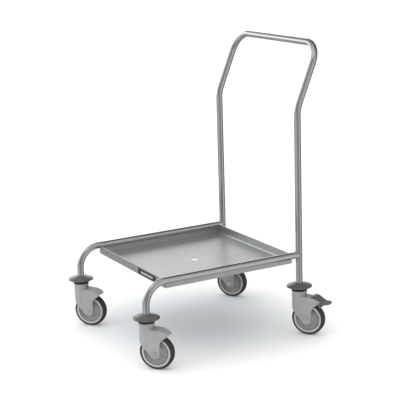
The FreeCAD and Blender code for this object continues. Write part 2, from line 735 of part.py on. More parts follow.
    @staticmethod
    def add_neck(body, foot):
        """Round front of the fork, with a slightly wider ring at its top."""
        ring_foot = f"{NECK_TOP} - sizes.neck_ring_height"
        head = new_sketch(body, "XY_Plane", ("0", "0", foot))
        draw_circle(head, f"{NECK_RADIUS} - sizes.neck_step")
        pad(body, head, f"{ring_foot} - ({foot})")
        ring = new_sketch(body, "XY_Plane", ("0", "0", ring_foot))
        draw_circle(ring, NECK_RADIUS)
        pad(body, ring, "sizes.neck_ring_height")

    @staticmethod
    def cut_chin(body, chin_z, chin_slope, leg_foot):
        """Slant the fork's front edge from the neck to the axle boss."""
        front_y = minus("sizes.neck_diameter")
        chin = new_sketch(body, "YZ_Plane")
        draw_outline(chin, [
            (front_y, f"{chin_z} + {chin_slope} * {NECK_RADIUS}"), leg_foot,
            (leg_foot[0], "0"), (front_y, "0")])
        pocket(body, chin, "2 * sizes.neck_diameter", symmetric=True)

    @staticmethod
    def cut_wheel_well(body):
        """Room for the wheel between the legs, and the hollow under the hood."""
        well = new_sketch(body, "YZ_Plane")
        draw_circle(well, f"{WHEEL_RADIUS} + sizes.well_clearance", AXLE_Y, AXLE_Z)
        pocket(body, well, "sizes.fork_gap", symmetric=True)
        hollow = new_sketch(body, "YZ_Plane")
        hollow_front = f"{NECK_RADIUS} - sizes.hood_shell"
        hollow_top = f"{SHOULDER_Z} - sizes.hood_shell"
        draw_outline(hollow, [
            (hollow_front, hollow_top), (f"{SHOULDER_Y} - sizes.hood_shell", hollow_top),
            (f"{TIP_Y} - sizes.hood_shell", TIP_FOOT), (FAR_Y, TIP_FOOT), (FAR_Y, AXLE_Z),
            (hollow_front, AXLE_Z)])
        pocket(body, hollow, "sizes.hood_inner_width", symmetric=True)

    @staticmethod
    def bore_neck(body):
        """Seats for both swivel bearings, with a web between them."""
        seat = f"{half('swivel_bearing_diameter')} + sizes.press_fit"
        upper = new_sketch(body, "XY_Plane", ("0", "0", NECK_TOP))
        draw_circle(upper, seat)
        pocket(body, upper, "sizes.swivel_bearing_inset + sizes.swivel_bearing_width")
        web = new_sketch(body, "XY_Plane", ("0", "0", NECK_TOP))
        draw_circle(web, half("swivel_web_bore"))
        pocket(body, web, f"{NECK_TOP} - ({AXLE_Z})")
        lower = new_sketch(body, "XY_Plane", ("0", "0", LOWER_BEARING_TOP))
        draw_circle(lower, seat)
        pocket(body, lower, f"{LOWER_BEARING_TOP} - ({AXLE_Z})")

    @staticmethod
    def bore_across(body, y, z, radius):
        """Hole through both sides of a piece, parallel to the axle."""
        hole = new_sketch(body, "YZ_Plane")
        draw_circle(hole, radius, y, z)
        pocket(body, hole, "2 * sizes.fork_width", symmetric=True)

    @staticmethod
    def cut_pedal_slot(body):
        """Slot in the hood for the brake pedal."""
        side = f"{half('pedal_width')} + sizes.pedal_slot_side_gap"
        slot = new_sketch(body, "XY_Plane", ("0", "0", NECK_TOP))
        draw_rectangle(slot, minus(side), side,
                       f"{PIVOT_Y} - sizes.heel_reach - sizes.pedal_slot_end_gap", FAR_Y)
        pocket(body, slot, f"{NECK_TOP} - ({AXLE_Z})")

    def axle_bolt(self):
        """Axle bolt with a round head, and its nut."""
        body = self.body("axle_bolt")
        nut_face = f"-1 * ({BOSS_FACE} + sizes.axle_nut_height)"
        bolt_end = f"{nut_face} - sizes.axle_overrun"
        head_face = f"{BOSS_FACE} + sizes.axle_head_height"
        head = half("axle_head_diameter")
        turned_on_axle(body, [
            (bolt_end, "0"), (bolt_end, AXLE_RADIUS), (BOSS_FACE, AXLE_RADIUS), (BOSS_FACE, head),
            (head_face, head), (head_face, "0")])
        fillet(body, lambda edge: wheel_circle(edge, head) and at(edge.Curve.Center.x, head_face),
               "sizes.axle_head_height / 2")
        nut = new_sketch(body, "YZ_Plane", ("0", "0", nut_face))
        draw_outline(nut, hexagon("sizes.axle_nut_flats", AXLE_Y, AXLE_Z))
        draw_circle(nut, f"{AXLE_RADIUS} + sizes.slip_fit", AXLE_Y, AXLE_Z)
        pad(body, nut, "sizes.axle_nut_height")
        return body

    def axle_spacer(self):
        """Tube on the axle between the hub's bearings."""
        body = self.body("axle_spacer")
        end = f"{BEARING_INNER_FACE} - sizes.running_gap"
        inner = f"{AXLE_RADIUS} + sizes.slip_fit"
        outer = f"{inner} + sizes.spacer_wall"
        turned_on_axle(body, [(minus(end), inner), (minus(end), outer), (end, outer), (end, inner)])
        return body

    def thread_guards(self):
        """Dished discs that close both sides of the wheel and space it from the fork."""
        body = self.body("thread_guards")
        inner = f"{AXLE_RADIUS} + sizes.slip_fit"
        wheel_side = f"{HUB_HALF} + sizes.running_gap"
        face = f"{wheel_side} + sizes.guard_thickness"
        flat = f"{half('hub_diameter')} + sizes.guard_rim_gap"
        edge = f"{RING_INNER_RADIUS} - sizes.guard_rim_gap"
        guard = [
            (wheel_side, inner), (half("fork_gap"), inner),
            (half("fork_gap"), half("guard_hub_diameter")), (face, half("guard_hub_diameter")),
            (face, flat), (f"{face} - sizes.guard_dish", edge),
            (f"{wheel_side} - sizes.guard_dish", edge), (wheel_side, flat)]
        turned_on_axle(body, guard, mirrored(guard))
        return body

    def wheel_rim(self):
        """Plastic rim with a hub, a web and an outer ring that holds the tyre."""
        body = self.body("wheel_rim")
        seat = f"{half('hub_bearing_diameter')} + sizes.press_fit"
        bore = f"{seat} - sizes.hub_bore_step"
        hub = half("hub_diameter")
        web = half("rim_web_thickness")
        side = half("rim_width")
        key = half("tyre_key_width")
        key_floor = f"{RIM_RADIUS} - sizes.tyre_key_depth"
        one_side = [
            (BEARING_INNER_FACE, bore), (BEARING_INNER_FACE, seat), (HUB_HALF, seat), (HUB_HALF, hub),
            (web, hub), (web, RING_INNER_RADIUS), (side, RING_INNER_RADIUS), (side, RIM_RADIUS),
            (key, RIM_RADIUS), (key, key_floor)]
        turned_on_axle(body, one_side + mirrored(one_side)[::-1])
        return body

    def tyre(self):
        """Rubber tyre with rounded shoulders, keyed into the rim."""
        body = self.body("tyre")
        side = half("tyre_width")
        inner = f"{RIM_RADIUS} + sizes.press_fit"
        key = f"{half('tyre_key_width')} - sizes.press_fit"
        key_floor = f"{inner} - sizes.tyre_key_depth"
        one_side = [(side, WHEEL_RADIUS), (side, inner), (key, inner), (key, key_floor)]
        turned_on_axle(body, one_side + mirrored(one_side)[::-1])
        fillet(body, lambda edge: wheel_circle(edge, WHEEL_RADIUS), "sizes.tyre_shoulder_radius")
        return body

    def hub_bearings(self):
        """Ball bearings pressed into both ends of the hub."""
        body = self.body("hub_bearings")
        bearing = bearing_outline(BEARING_INNER_FACE, HUB_HALF, f"{AXLE_RADIUS} + sizes.running_fit",
                                  half("hub_bearing_diameter"))
        turned_on_axle(body, bearing, mirrored(bearing))
        return body

    @staticmethod
    def beside_tyre(height, along):
        """Point over the tyre's tread at the brake, by its height and its place along the tread."""
        radius = f"({WHEEL_RADIUS} + {height})"
        return (f"{AXLE_Y} + {radius} * cos(sizes.brake_angle) - {along} * sin(sizes.brake_angle)",
                f"{AXLE_Z} + {radius} * sin(sizes.brake_angle) + {along} * cos(sizes.brake_angle)")

    def brake_pedal(self):
        """Rocking pedal: its toe sets the brake and its humped heel lets it off."""
        body = self.body("brake_pedal")
        heel_y = f"{PIVOT_Y} - sizes.heel_reach"
        heel_z = f"{PIVOT_Z} + sizes.heel_rise"
        hump_z = f"{PIVOT_Z} + sizes.hump_rise"
        hump_start = (f"{heel_y} + sizes.hump_front", hump_z)
        hump_end = (f"{heel_y} + sizes.hump_front + sizes.hump_length", hump_z)
        toe_y = f"{PIVOT_Y} + sizes.toe_start"
        toe_top = (toe_y, f"{PIVOT_Z} + sizes.toe_rise")
        tip_top = f"{PIVOT_Z} + sizes.toe_tip_rise"
        seat = "(sizes.brake_gap + sizes.shoe_thickness)"
        flank = new_sketch(body, "YZ_Plane")
        draw_outline(flank, [
            (heel_y, f"{heel_z} - sizes.heel_depth"), (heel_y, heel_z), hump_start, hump_end, toe_top,
            ("sizes.pedal_reach", tip_top), ("sizes.pedal_reach", f"{tip_top} - sizes.toe_thickness"),
            (toe_y, f"{PIVOT_Z} - sizes.toe_drop"),
            self.beside_tyre(seat, "-1 * sizes.shoe_length / 2"),
            self.beside_tyre(seat, "sizes.shoe_length / 2")])
        pad(body, flank, "sizes.pedal_width", symmetric=True)
        fillet(body, upright_at("sizes.pedal_reach"), "sizes.toe_corner_radius")
        for corner in (hump_start, hump_end):
            fillet(body, across_at(*corner), "sizes.hump_radius")
        fillet(body, across_at(*toe_top), "sizes.toe_radius")
        self.bore_across(body, PIVOT_Y, PIVOT_Z, f"{PIVOT_PIN_RADIUS} + sizes.running_fit")
        return body

    def brake_shoe(self):
        """Steel shoe under the pedal, over the tyre's tread."""
        body = self.body("brake_shoe")
        back = "(sizes.brake_gap + sizes.shoe_thickness)"
        flank = new_sketch(body, "YZ_Plane")
        draw_outline(flank, [
            self.beside_tyre("sizes.brake_gap", "-1 * sizes.shoe_length / 2"),
            self.beside_tyre("sizes.brake_gap", "sizes.shoe_length / 2"),
            self.beside_tyre(back, "sizes.shoe_length / 2"),
            self.beside_tyre(back, "-1 * sizes.shoe_length / 2")])
        pad(body, flank, "sizes.shoe_width", symmetric=True)
        return body

    def pedal_pin(self):
        """Pin across the hood on which the pedal rocks."""
        body = self.body("pedal_pin")
        end = f"{half('fork_width')} - sizes.pin_inset"
        turned_on_axle(body, [(minus(end), "0"), (minus(end), PIVOT_PIN_RADIUS),
                              (end, PIVOT_PIN_RADIUS), (end, "0")], y=PIVOT_Y, z=PIVOT_Z)
        return body


def group(label, bodies):
    """Node that holds several identical pieces."""
    compound = doc.addObject("Part::Compound", label)
    compound.Label = label
    compound.Links = bodies
    return compound


def build_pieces():
    """Every piece of the dolly, in order."""
    pieces = [build_side_tube("left_side_tube", LEFT_X), build_side_tube("right_side_tube", RIGHT_X),
              build_push_handle(), build_tray(), build_label_plate()]
    nuts = []
    circlips = []
    for corner, x, y, turn, braked in (
            ("front_left", LEFT_X, FRONT_Y, "sizes.front_yaw", False),
            ("front_right", RIGHT_X, FRONT_Y, "sizes.front_yaw", False),
            ("rear_left", LEFT_X, REAR_Y, "sizes.rear_yaw", True),
            ("rear_right", RIGHT_X, REAR_Y, "sizes.rear_yaw", True)):
        caster = Caster(corner, x, y, turn)
        pieces += [caster.bumper_disc(), caster.swivel_stem(), caster.tube_expander(),
                   caster.swivel_bearings(), caster.fork(braked), caster.axle_bolt(),
                   caster.axle_spacer(), caster.thread_guards(), caster.wheel_rim(), caster.tyre(),
                   caster.hub_bearings()]
        nuts.append(caster.stem_nut())
        circlips.append(caster.stem_circlip())
        if braked:
            pieces += [caster.brake_pedal(), caster.brake_shoe(), caster.pedal_pin()]
    return pieces + [group("stem_nuts", nuts), group("stem_circlips", circlips)]


def check_document():
    """Stop if any object of the document failed to build."""
    for item in doc.Objects:
        if "Invalid" in item.State or "Error" in item.State:
            raise RuntimeError(f"{item.Label} failed: {item.State}")


def main():
    """Build, check and write every piece."""
    pieces = build_pieces()
    doc.recompute()
    check_document()
    for piece in pieces:
        if piece.Shape.isNull() or not piece.Shape.isValid() or not piece.Shape.Solids:
            raise RuntimeError(f"{piece.Label} has no valid shape")
    os.makedirs("parts", exist_ok=True)
    for piece in pieces:
        piece.Shape.exportStep(f"parts/{piece.Label}.step")
        print(f"{piece.Label}: {len(piece.Shape.Solids)} solids, {piece.Shape.Volume:.0f} mm3")


main()
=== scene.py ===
"""Dish rack dolly: finishes, fine pieces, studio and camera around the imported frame.

Metres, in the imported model's frame: +Z is up, the floor is Z = 0, the push handle is at +Y,
the front lip at -Y, and "left" and "right" are as seen from the front.
"""
import functools
import json
import logging
import math
from collections.abc import Callable, Sequence
from dataclasses import dataclass
from enum import Enum
from itertools import accumulate

import bmesh
import bpy
from mathutils import Matrix, Vector


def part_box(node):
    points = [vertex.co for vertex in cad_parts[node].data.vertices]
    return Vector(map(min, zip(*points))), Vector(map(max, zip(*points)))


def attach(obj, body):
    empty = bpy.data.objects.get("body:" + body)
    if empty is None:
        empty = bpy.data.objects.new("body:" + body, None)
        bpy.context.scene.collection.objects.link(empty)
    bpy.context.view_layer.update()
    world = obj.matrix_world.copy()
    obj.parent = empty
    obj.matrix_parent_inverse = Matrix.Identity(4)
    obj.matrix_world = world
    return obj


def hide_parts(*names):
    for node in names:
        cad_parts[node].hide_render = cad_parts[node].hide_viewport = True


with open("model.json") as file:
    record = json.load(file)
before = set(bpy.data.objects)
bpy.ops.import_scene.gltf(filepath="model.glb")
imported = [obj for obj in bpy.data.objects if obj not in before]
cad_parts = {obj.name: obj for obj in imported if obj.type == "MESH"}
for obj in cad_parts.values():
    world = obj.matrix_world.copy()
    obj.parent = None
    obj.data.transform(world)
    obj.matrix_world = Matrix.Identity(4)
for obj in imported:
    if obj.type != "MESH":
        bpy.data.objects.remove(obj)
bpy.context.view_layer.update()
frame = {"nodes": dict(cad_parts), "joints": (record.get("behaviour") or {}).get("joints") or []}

LOG = logging.getLogger("dish_rack_dolly")
FULL_TURN = 2.0 * math.pi
UP = Vector((0.0, 0.0, 1.0))
SIDEWAYS = Vector((1.0, 0.0, 0.0))
FORWARD = Vector((0.0, -1.0, 0.0))
MILLIMETRE = 0.001
NEARLY_PARALLEL = 0.9
BEAD_TIP = 0.01
TURNED_SIDES = 144
CREASE = math.radians(32.0)
WHITE = (1.0, 1.0, 1.0, 1.0)
BLACK = (0.0, 0.0, 0.0, 1.0)
ALONG = "along_piece"

Triple = tuple[float, float, float]
Colour = Triple
Span = tuple[float, float]
RoundedCorner = tuple[Vector, float]
SectionCorner = tuple[float, ...]
Socket = bpy.types.NodeSocket
Shape = bmesh.types.BMesh
Material = bpy.types.Material


class Corner(Enum):
    """Where a caster stands under the frame."""

    FRONT_LEFT = "front_left"
    FRONT_RIGHT = "front_right"
    REAR_LEFT = "rear_left"
    REAR_RIGHT = "rear_right"


class Coordinates(Enum):
    """What a finish is laid out along: the piece's own length, or its place in the frame."""

    ALONG_PIECE = "along"
    IN_FRAME = "object"


class Graph:
    """A node tree, with short ways to add and join nodes."""

    MIX_A = 6
    MIX_B = 7
    MIX_RESULT = 2

    def __init__(self, tree: bpy.types.NodeTree) -> None:
        """Work on a node tree."""
        self.nodes = tree.nodes
        self.links = tree.links

    def feed(self, socket: Socket, value: object) -> None:
        """Join a socket to another, or set its value.

        Args:
            socket: the input.
            value: an output to join it to, or the value to set.
        """
        if isinstance(value, Socket):
            self.links.new(value, socket)
        else:
            socket.default_value = value

    def add(self, kind: str, inputs: dict[object, object], **settings: object) -> bpy.types.Node:
        """Add a node.

        Args:
            kind: Blender's name of the node's type.
            inputs: values or sockets for the node's inputs, by name or place.
            settings: the node's own settings.

        Returns:
            The new node.
        """
        node = self.nodes.new(kind)
        for key, value in settings.items():
            setattr(node, key, value)
        for key, value in inputs.items():
            self.feed(node.inputs[key], value)
        return node

    def place(self, kind: Coordinates = Coordinates.IN_FRAME) -> Socket:
        """Coordinates in metres, along the piece or in the frame."""
        if kind is Coordinates.ALONG_PIECE:
            return self.add("ShaderNodeUVMap", {}, uv_map=ALONG).outputs["UV"]
        return self.add("ShaderNodeTexCoord", {}).outputs["Object"]

    def stretched(self, place: Socket, per_metre: Triple) -> Socket:
        """Coordinates scaled by their own count per metre along each axis."""
        return self.add("ShaderNodeMapping", {"Vector": place, "Scale": per_metre}).outputs["Vector"]

    def noise(self, place: Socket, scale: float, detail: float = 2.0) -> Socket:
        """Cloudy noise between 0 and 1."""
        inputs = {"Vector": place, "Scale": scale, "Detail": detail}
        return self.add("ShaderNodeTexNoise", inputs).outputs[0]

    def spread(self, value: Socket, low: object, high: object, start: float = 0.3,
               end: float = 0.7) -> Socket:
        """Map a value from the range start to end, by default that of noise, onto low to high."""
        inputs = {"Value": value, "From Min": start, "From Max": end, "To Min": low, "To Max": high}
        return self.add("ShaderNodeMapRange", inputs).outputs["Result"]

    def blend(self, share: object, first: object, second: object) -> Socket:
        """Mix two colours."""
        inputs = {0: share, self.MIX_A: first, self.MIX_B: second}
        return self.add("ShaderNodeMix", inputs, data_type="RGBA").outputs[self.MIX_RESULT]

    def calculate(self, first: object, second: object, operation: str = "ADD") -> Socket:
        """Join two numbers by an operation."""
        return self.add("ShaderNodeMath", {0: first, 1: second}, operation=operation).outputs[0]

    def bump(self, height: Socket, depth: float, strength: float, under: Socket | None = None) -> Socket:
        """Relief on the surface.

        Args:
            height: the relief between 0 and 1.
            depth: its depth in metres.
            strength: how much of it shows.
            under: another relief below it.

        Returns:
            The normal's socket.
        """
        inputs = {"Height": height, "Distance": depth, "Strength": strength}
        if under is not None:
            inputs["Normal"] = under
        return self.add("ShaderNodeBump", inputs).outputs["Normal"]

    def ramp(self, value: Socket, stops: Sequence[Span]) -> Socket:
        """Grey tones along a value.

        Args:
            value: a number between 0 and 1.
            stops: places with the tone at each, in order, the first at 0 and the last at 1.

        Returns:
            The tone's socket, eased from stop to stop.
        """
        node = self.add("ShaderNodeValToRGB", {0: value})
        node.color_ramp.interpolation = "EASE"
        elements = node.color_ramp.elements
        inner = [elements.new(place) for place, _ in stops[1:-1]]
        for element, (_, tone) in zip([elements[0], *inner, elements[len(stops) - 1]], stops):
            element.color = (tone, tone, tone, 1.0)
        return node.outputs["Color"]

    def seen_directly(self) -> Socket:
        """1 for rays from the camera, a mirror or glass, and 0 for the light on a matt surface."""
        path = self.add("ShaderNodeLightPath", {})
        seen = path.outputs["Is Camera Ray"]
        for kind in ("Is Glossy Ray", "Is Transmission Ray"):
            seen = self.calculate(seen, path.outputs[kind], "MAXIMUM")
        return seen


class Surface(Graph):
    """A material's node tree around one principled shader."""

    def __init__(self, name: str) -> None:
        """Start a material."""
        self.material = bpy.data.materials.new(name)
        self.material.use_nodes = True
        super().__init__(self.material.node_tree)
        self.shader = self.nodes["Principled BSDF"]

    def mottled(self, noise: Socket, colour: Colour, tint: float) -> Socket:
        """A colour that noise makes a little darker and lighter."""
        share = self.spread(noise, 0.0, 1.0)
        return self.blend(share, shade(colour, 1.0 - tint), shade(colour, 1.0 + tint))

    def dress(self, **inputs: object) -> Material:
        """Set the shader's sockets, named with _ for a space, and give the material."""
        for key, value in inputs.items():
            self.feed(self.shader.inputs[key.replace("_", " ")], value)
        return self.material


def shade(colour: Colour, factor: float = 1.0) -> tuple[float, float, float, float]:
    """A colour made lighter or darker, with full alpha."""
    return (colour[0] * factor, colour[1] * factor, colour[2] * factor, 1.0)


# In the finishes, noise is its count per metre and its detail, and relief is its depth and strength.
@dataclass(frozen=True)
class Steel:
    """Bare or plated steel with fine grain, clouded polish and faint rub marks."""

    slot: str
    colour: Colour
    polish: Span
    grain: Triple
    laid: Coordinates = Coordinates.IN_FRAME
    grain_detail: float = 3.0
    relief: Span = (0.003 * MILLIMETRE, 0.6)
    clouds: Span = (16.0, 3.0)
    smudges: Span = (45.0, 4.0)
    wear_range: Span = (1.1, 1.9)
    tint: float = 0.03

    def build(self) -> Material:
        """Make the material."""
        graph = Surface(self.slot)
        lines = graph.noise(graph.stretched(graph.place(self.laid), self.grain), 1.0, self.grain_detail)
        place = graph.place()
        clouds = graph.noise(place, *self.clouds)
        wear = graph.calculate(graph.calculate(lines, clouds), graph.noise(place, *self.smudges))
        return graph.dress(Base_Color=graph.mottled(clouds, self.colour, self.tint), Metallic=1.0,
                           Roughness=graph.spread(wear, *self.polish, *self.wear_range),
                           Normal=graph.bump(lines, *self.relief))


@dataclass(frozen=True)
class Moulding:
    """Moulded plastic or rubber with a spark-eroded grain, mottling and rubbed patches."""

    slot: str
    colour: Colour
    polish: Span
    grain: float = 1500.0
    relief: Span = (0.03 * MILLIMETRE, 0.7)
    mottle: Span = (22.0, 3.0)
    tint: float = 0.06
    rub: Span = (90.0, 5.0)
    rub_stretch: Triple = (1.0, 1.0, 3.0)
    rub_range: Span = (0.56, 0.72)
    rub_relief: Span = (0.02 * MILLIMETRE, 0.3)
    rub_tint: float = 0.08
    wear_range: Span = (0.7, 1.3)
    shine: float = 0.5

    def build(self) -> Material:
        """Make the material."""
        graph = Surface(self.slot)
        place = graph.place()
        rubs = graph.noise(graph.stretched(place, self.rub_stretch), *self.rub)
        grain = graph.noise(place, self.grain)
        base = graph.mottled(graph.noise(place, *self.mottle), self.colour, self.tint)
        worn = graph.blend(graph.spread(rubs, 0.0, 1.0, *self.rub_range), base,
                           shade(self.colour, 1.0 + self.rub_tint))
        smooth, rough = self.polish
        wear = graph.calculate(rubs, grain)
        return graph.dress(Base_Color=worn, Specular_IOR_Level=self.shine,
                           Roughness=graph.spread(wear, rough, smooth, *self.wear_range),
                           Normal=graph.bump(grain, *self.relief, graph.bump(rubs, *self.rub_relief)))


@dataclass(frozen=True)
class TreadRubber:
    """Tyre rubber: concentric mould marks, a dusty bloom and scuffs on the tread."""

    slot: str
    colour: Colour
    dust: Colour
    polish: Span = (0.55, 0.78)
    detail: float = 5.0
    rings: Triple = (2.0, 2200.0, 1.0)
    ring_relief: Span = (0.03 * MILLIMETRE, 0.6)
    bloom: float = 34.0
    bloom_share: float = 0.6
    scuffs: Triple = (60.0, 240.0, 1.0)
    scuff_range: Span = (0.5, 0.75)
    scuff_share: float = 0.4
    scuff_relief: Span = (0.06 * MILLIMETRE, 0.5)
    shine: float = 0.4

    def build(self) -> Material:
        """Make the material."""
        graph = Surface(self.slot)
        along = graph.place(Coordinates.ALONG_PIECE)
        rings = graph.noise(graph.stretched(along, self.rings), 1.0)
        bloom = graph.noise(graph.place(), self.bloom, self.detail)
        scuffs = graph.noise(graph.stretched(along, self.scuffs), 1.0, self.detail)
        dusty = graph.calculate(graph.spread(bloom, 0.0, self.bloom_share),
                                graph.spread(scuffs, 0.0, self.scuff_share, *self.scuff_range))
        under = graph.bump(rings, *self.ring_relief)
        return graph.dress(Base_Color=graph.blend(dusty, shade(self.colour), shade(self.dust)),
                           Roughness=graph.spread(scuffs, *self.polish), Specular_IOR_Level=self.shine,
                           Normal=graph.bump(scuffs, *self.scuff_relief, under))


@dataclass(frozen=True)
class WeldMetal:
    """Brushed weld bead with a faint straw tint from the heat."""

    slot: str
    name: str
    colour: Colour
    heat: Colour
    polish: Span = (0.26, 0.46)
    heat_spots: Span = (180.0, 3.0)
    scratches: Span = (1400.0, 3.0)
    relief: Span = (0.03 * MILLIMETRE, 0.5)

    def build(self) -> Material:
        """Make the material."""
        graph = Surface(self.name)
        place = graph.place()
        tint = graph.spread(graph.noise(place, *self.heat_spots), 0.0, 1.0)
        scratch = graph.noise(place, *self.scratches)
        return graph.dress(Base_Color=graph.blend(tint, shade(self.colour), shade(self.heat)), Metallic=1.0,
                           Roughness=graph.spread(scratch, *self.polish),
                           Normal=graph.bump(scratch, *self.relief))


@dataclass(frozen=True)
class PrintedFoil:
    """Printed label foil: an even ink coat with a fine orange-peel gloss."""

    slot: str
    name: str
    colour: Colour
    polish: Span = (0.32, 0.46)
    ink: Span = (260.0, 4.0)
    tint: float = 0.12
    peel: float = 900.0
    relief: Span = (0.01 * MILLIMETRE, 0.5)

    def build(self) -> Material:
        """Make the material."""
        graph = Surface(self.name)
        place = graph.place()
        ink = graph.noise(place, *self.ink)
        return graph.dress(Base_Color=graph.mottled(ink, self.colour, self.tint),
                           Roughness=graph.spread(ink, *self.polish),
                           Normal=graph.bump(graph.noise(place, self.peel), *self.relief))


Finish = Steel | Moulding | TreadRubber | WeldMetal | PrintedFoil

TUBE = Steel("stainless_tube", (0.52, 0.523, 0.527), (0.15, 0.23), (3.0, 900.0, 1.0),
             Coordinates.ALONG_PIECE)
SHEET = Steel("stainless_sheet", (0.475, 0.485, 0.493), (0.36, 0.45), (700.0, 6.0, 700.0))
PLATED = Steel("plated_steel", (0.6, 0.604, 0.607), (0.38, 0.52), (300.0, 300.0, 300.0),
               clouds=(60.0, 3.0))
GROUND = Steel("bearing_steel", (0.5, 0.5, 0.5), (0.2, 0.32), (500.0, 500.0, 500.0),
               clouds=(80.0, 3.0))
FORK_NYLON = Moulding("caster_grey", (0.36, 0.362, 0.368), (0.34, 0.48))
RIM_NYLON = Moulding("rim_grey", (0.46, 0.463, 0.466), (0.34, 0.48))
# Darker than the rim's grey nylon, partly as painted shade in the wheel's dished recess.
GUARD_GREY_AND_PAINTED_SHADE = Moulding("guard_grey", (0.31, 0.312, 0.316), (0.38, 0.52))
PEDAL_NYLON = Moulding("pedal_dark", (0.1, 0.103, 0.103), (0.38, 0.52), rub_tint=0.3)
BUMPER_RUBBER = Moulding("bumper_grey", (0.108, 0.112, 0.112), (0.2, 0.3),
                         relief=(0.012 * MILLIMETRE, 0.7))
# Near-black rubber; on the bumper seals it also stands in as painted shade under the disc.
SEAL_RUBBER = Moulding("expander_rubber", (0.014, 0.014, 0.014), (0.55, 0.7), rub_tint=0.4, shine=0.3)
TYRE_RUBBER = TreadRubber("tyre_dark", (0.032, 0.033, 0.032), (0.06, 0.06, 0.058))
WELD = WeldMetal("stainless_tube", "weld_bead", (0.52, 0.52, 0.52), (0.5, 0.46, 0.38))
LABEL_INK = PrintedFoil("label_black", "label_ink", (0.012, 0.012, 0.014))
LABEL_STRIP = PrintedFoil("label_black", "label_strip", (0.42, 0.43, 0.44))
SLOT_FINISHES = (TUBE, SHEET, PLATED, GROUND, FORK_NYLON, RIM_NYLON, GUARD_GREY_AND_PAINTED_SHADE, PEDAL_NYLON,
                 BUMPER_RUBBER, SEAL_RUBBER, TYRE_RUBBER, LABEL_INK)


@functools.cache
def material_of(finish: Finish) -> Material:
    """A finish's material, made once."""
    return finish.build()


def rounded_path(corners: Sequence[RoundedCorner], closed: bool = False,
                 step: float = math.radians(6.0)) -> list[Vector]:
    """Points of a path whose corners are rounded by arcs.

    Args:
        corners: each corner's place and its arc's radius, 0 for a sharp one.
        closed: whether the last corner joins the first.
        step: turn from one point of an arc to the next.

    Returns:
        The path's points in order.
    """
    points: list[Vector] = []
    count = len(corners)
    for index, (corner, radius) in enumerate(corners):
        at_end = not closed and index in (0, count - 1)
        if at_end or radius <= 0.0:
            points.append(corner.copy())
            continue
        back = (corners[index - 1][0] - corner).normalized()
        ahead = (corners[(index + 1) % count][0] - corner).normalized()
        half_angle = back.angle(ahead) / 2.0
        centre = corner + (back + ahead).normalized() * radius / math.sin(half_angle)
        reach = radius / math.tan(half_angle)
        first = corner + back * reach - centre
        last = corner + ahead * reach - centre
        turn = first.angle(last)
        pieces = max(2, math.ceil(turn / step))
        axis = first.cross(last).normalized()
        points.extend(centre + Matrix.Rotation(turn * i / pieces, 3, axis) @ first
                      for i in range(pieces + 1))
    return points


def closed_outline(*corners: SectionCorner) -> list[Vector]:
    """Points of a flat outline, from corners of two numbers and, where they are rounded, a radius."""
    return rounded_path([(Vector((c[0], c[1], 0.0)), c[2] if len(c) > 2 else 0.0) for c in corners], True)


def turned_over(half: Sequence[SectionCorner]) -> list[SectionCorner]:
    """The corners of half a turned outline, on its other side."""
    return [(radius, -height, *rounding) for radius, height, *rounding in half]


def circle(sides: int) -> list[Span]:
    """Cosine and sine of angles that are evenly spread over a turn."""
    return [(math.cos(FULL_TURN * j / sides), math.sin(FULL_TURN * j / sides)) for j in range(sides)]


def axis_place(origin: Vector, axis: Vector) -> Matrix:
    """Matrix that carries the Z axis onto an axis through a point."""
    side = SIDEWAYS if abs(axis.dot(UP)) > NEARLY_PARALLEL else UP.cross(axis).normalized()
    columns = Matrix((side, axis.cross(side), axis)).transposed()
    return Matrix.Translation(origin) @ columns.to_4x4()


def new_shape() -> Shape:
    """An empty shape with a layer for the coordinates along the piece."""
    shape = bmesh.new()
    shape.loops.layers.uv.new(ALONG)
    return shape


def join_rings(shape: Shape, rings: Sequence[Sequence[bmesh.types.BMVert]], lengths: Sequence[float],
               girth: float, wrap: bool = False, across: bool = False) -> None:
    """Face the strips between rings of as many vertices each.

    Args:
        shape: where the faces go.
        rings: the rings of vertices in order.
        lengths: distance of each ring along the piece, with one more where it wraps.
        girth: distance round a ring.
        wrap: whether the last ring joins the first.
        across: whether the piece's own length runs round the rings.
    """
    layer = shape.loops.layers.uv.verify()
    count = len(rings[0])
    spans = len(rings) if wrap else len(rings) - 1
    for i in range(spans):
        here, there = rings[i], rings[(i + 1) % len(rings)]
        for j in range(count):
            k = (j + 1) % count
            face = shape.faces.new((here[j], here[k], there[k], there[j]))
            start, end = girth * j / count, girth * (j + 1) / count
            spots = ((lengths[i], start), (lengths[i], end), (lengths[i + 1], end), (lengths[i + 1], start))
            for loop, (u, v) in zip(face.loops, spots):
                loop[layer].uv = (v, u) if across else (u, v)


def running_lengths(points: Sequence[Vector], closed: bool = False) -> list[float]:
    """Distance of each point along a path, with the way back to the first where it is closed."""
    following = [*points[1:], *points[:1]] if closed else points[1:]
    return list(accumulate(((b - a).length for a, b in zip(points, following)), initial=0.0))


def path_frames(path: Sequence[Vector], closed: bool) -> list[tuple[Vector, Vector]]:
    """Two cross directions at each point of a path, which turn as little as they can.

    Args:
        path: the path's points.
        closed: whether the last point joins the first.

    Returns:
        Both directions at each point.
    """
    count = len(path)
    frames: list[tuple[Vector, Vector]] = []
    for i in range(count):
        before = path[i - 1 if closed else max(i - 1, 0)]
        after = path[(i + 1) % count if closed else min(i + 1, count - 1)]
        ahead = (after - before).normalized()
        if frames:
            side = frames[-1][0]
        else:
            side = SIDEWAYS if abs(ahead.x) < NEARLY_PARALLEL else -FORWARD
        side = (side - ahead * side.dot(ahead)).normalized()
        frames.append((side, ahead.cross(side)))
    return frames


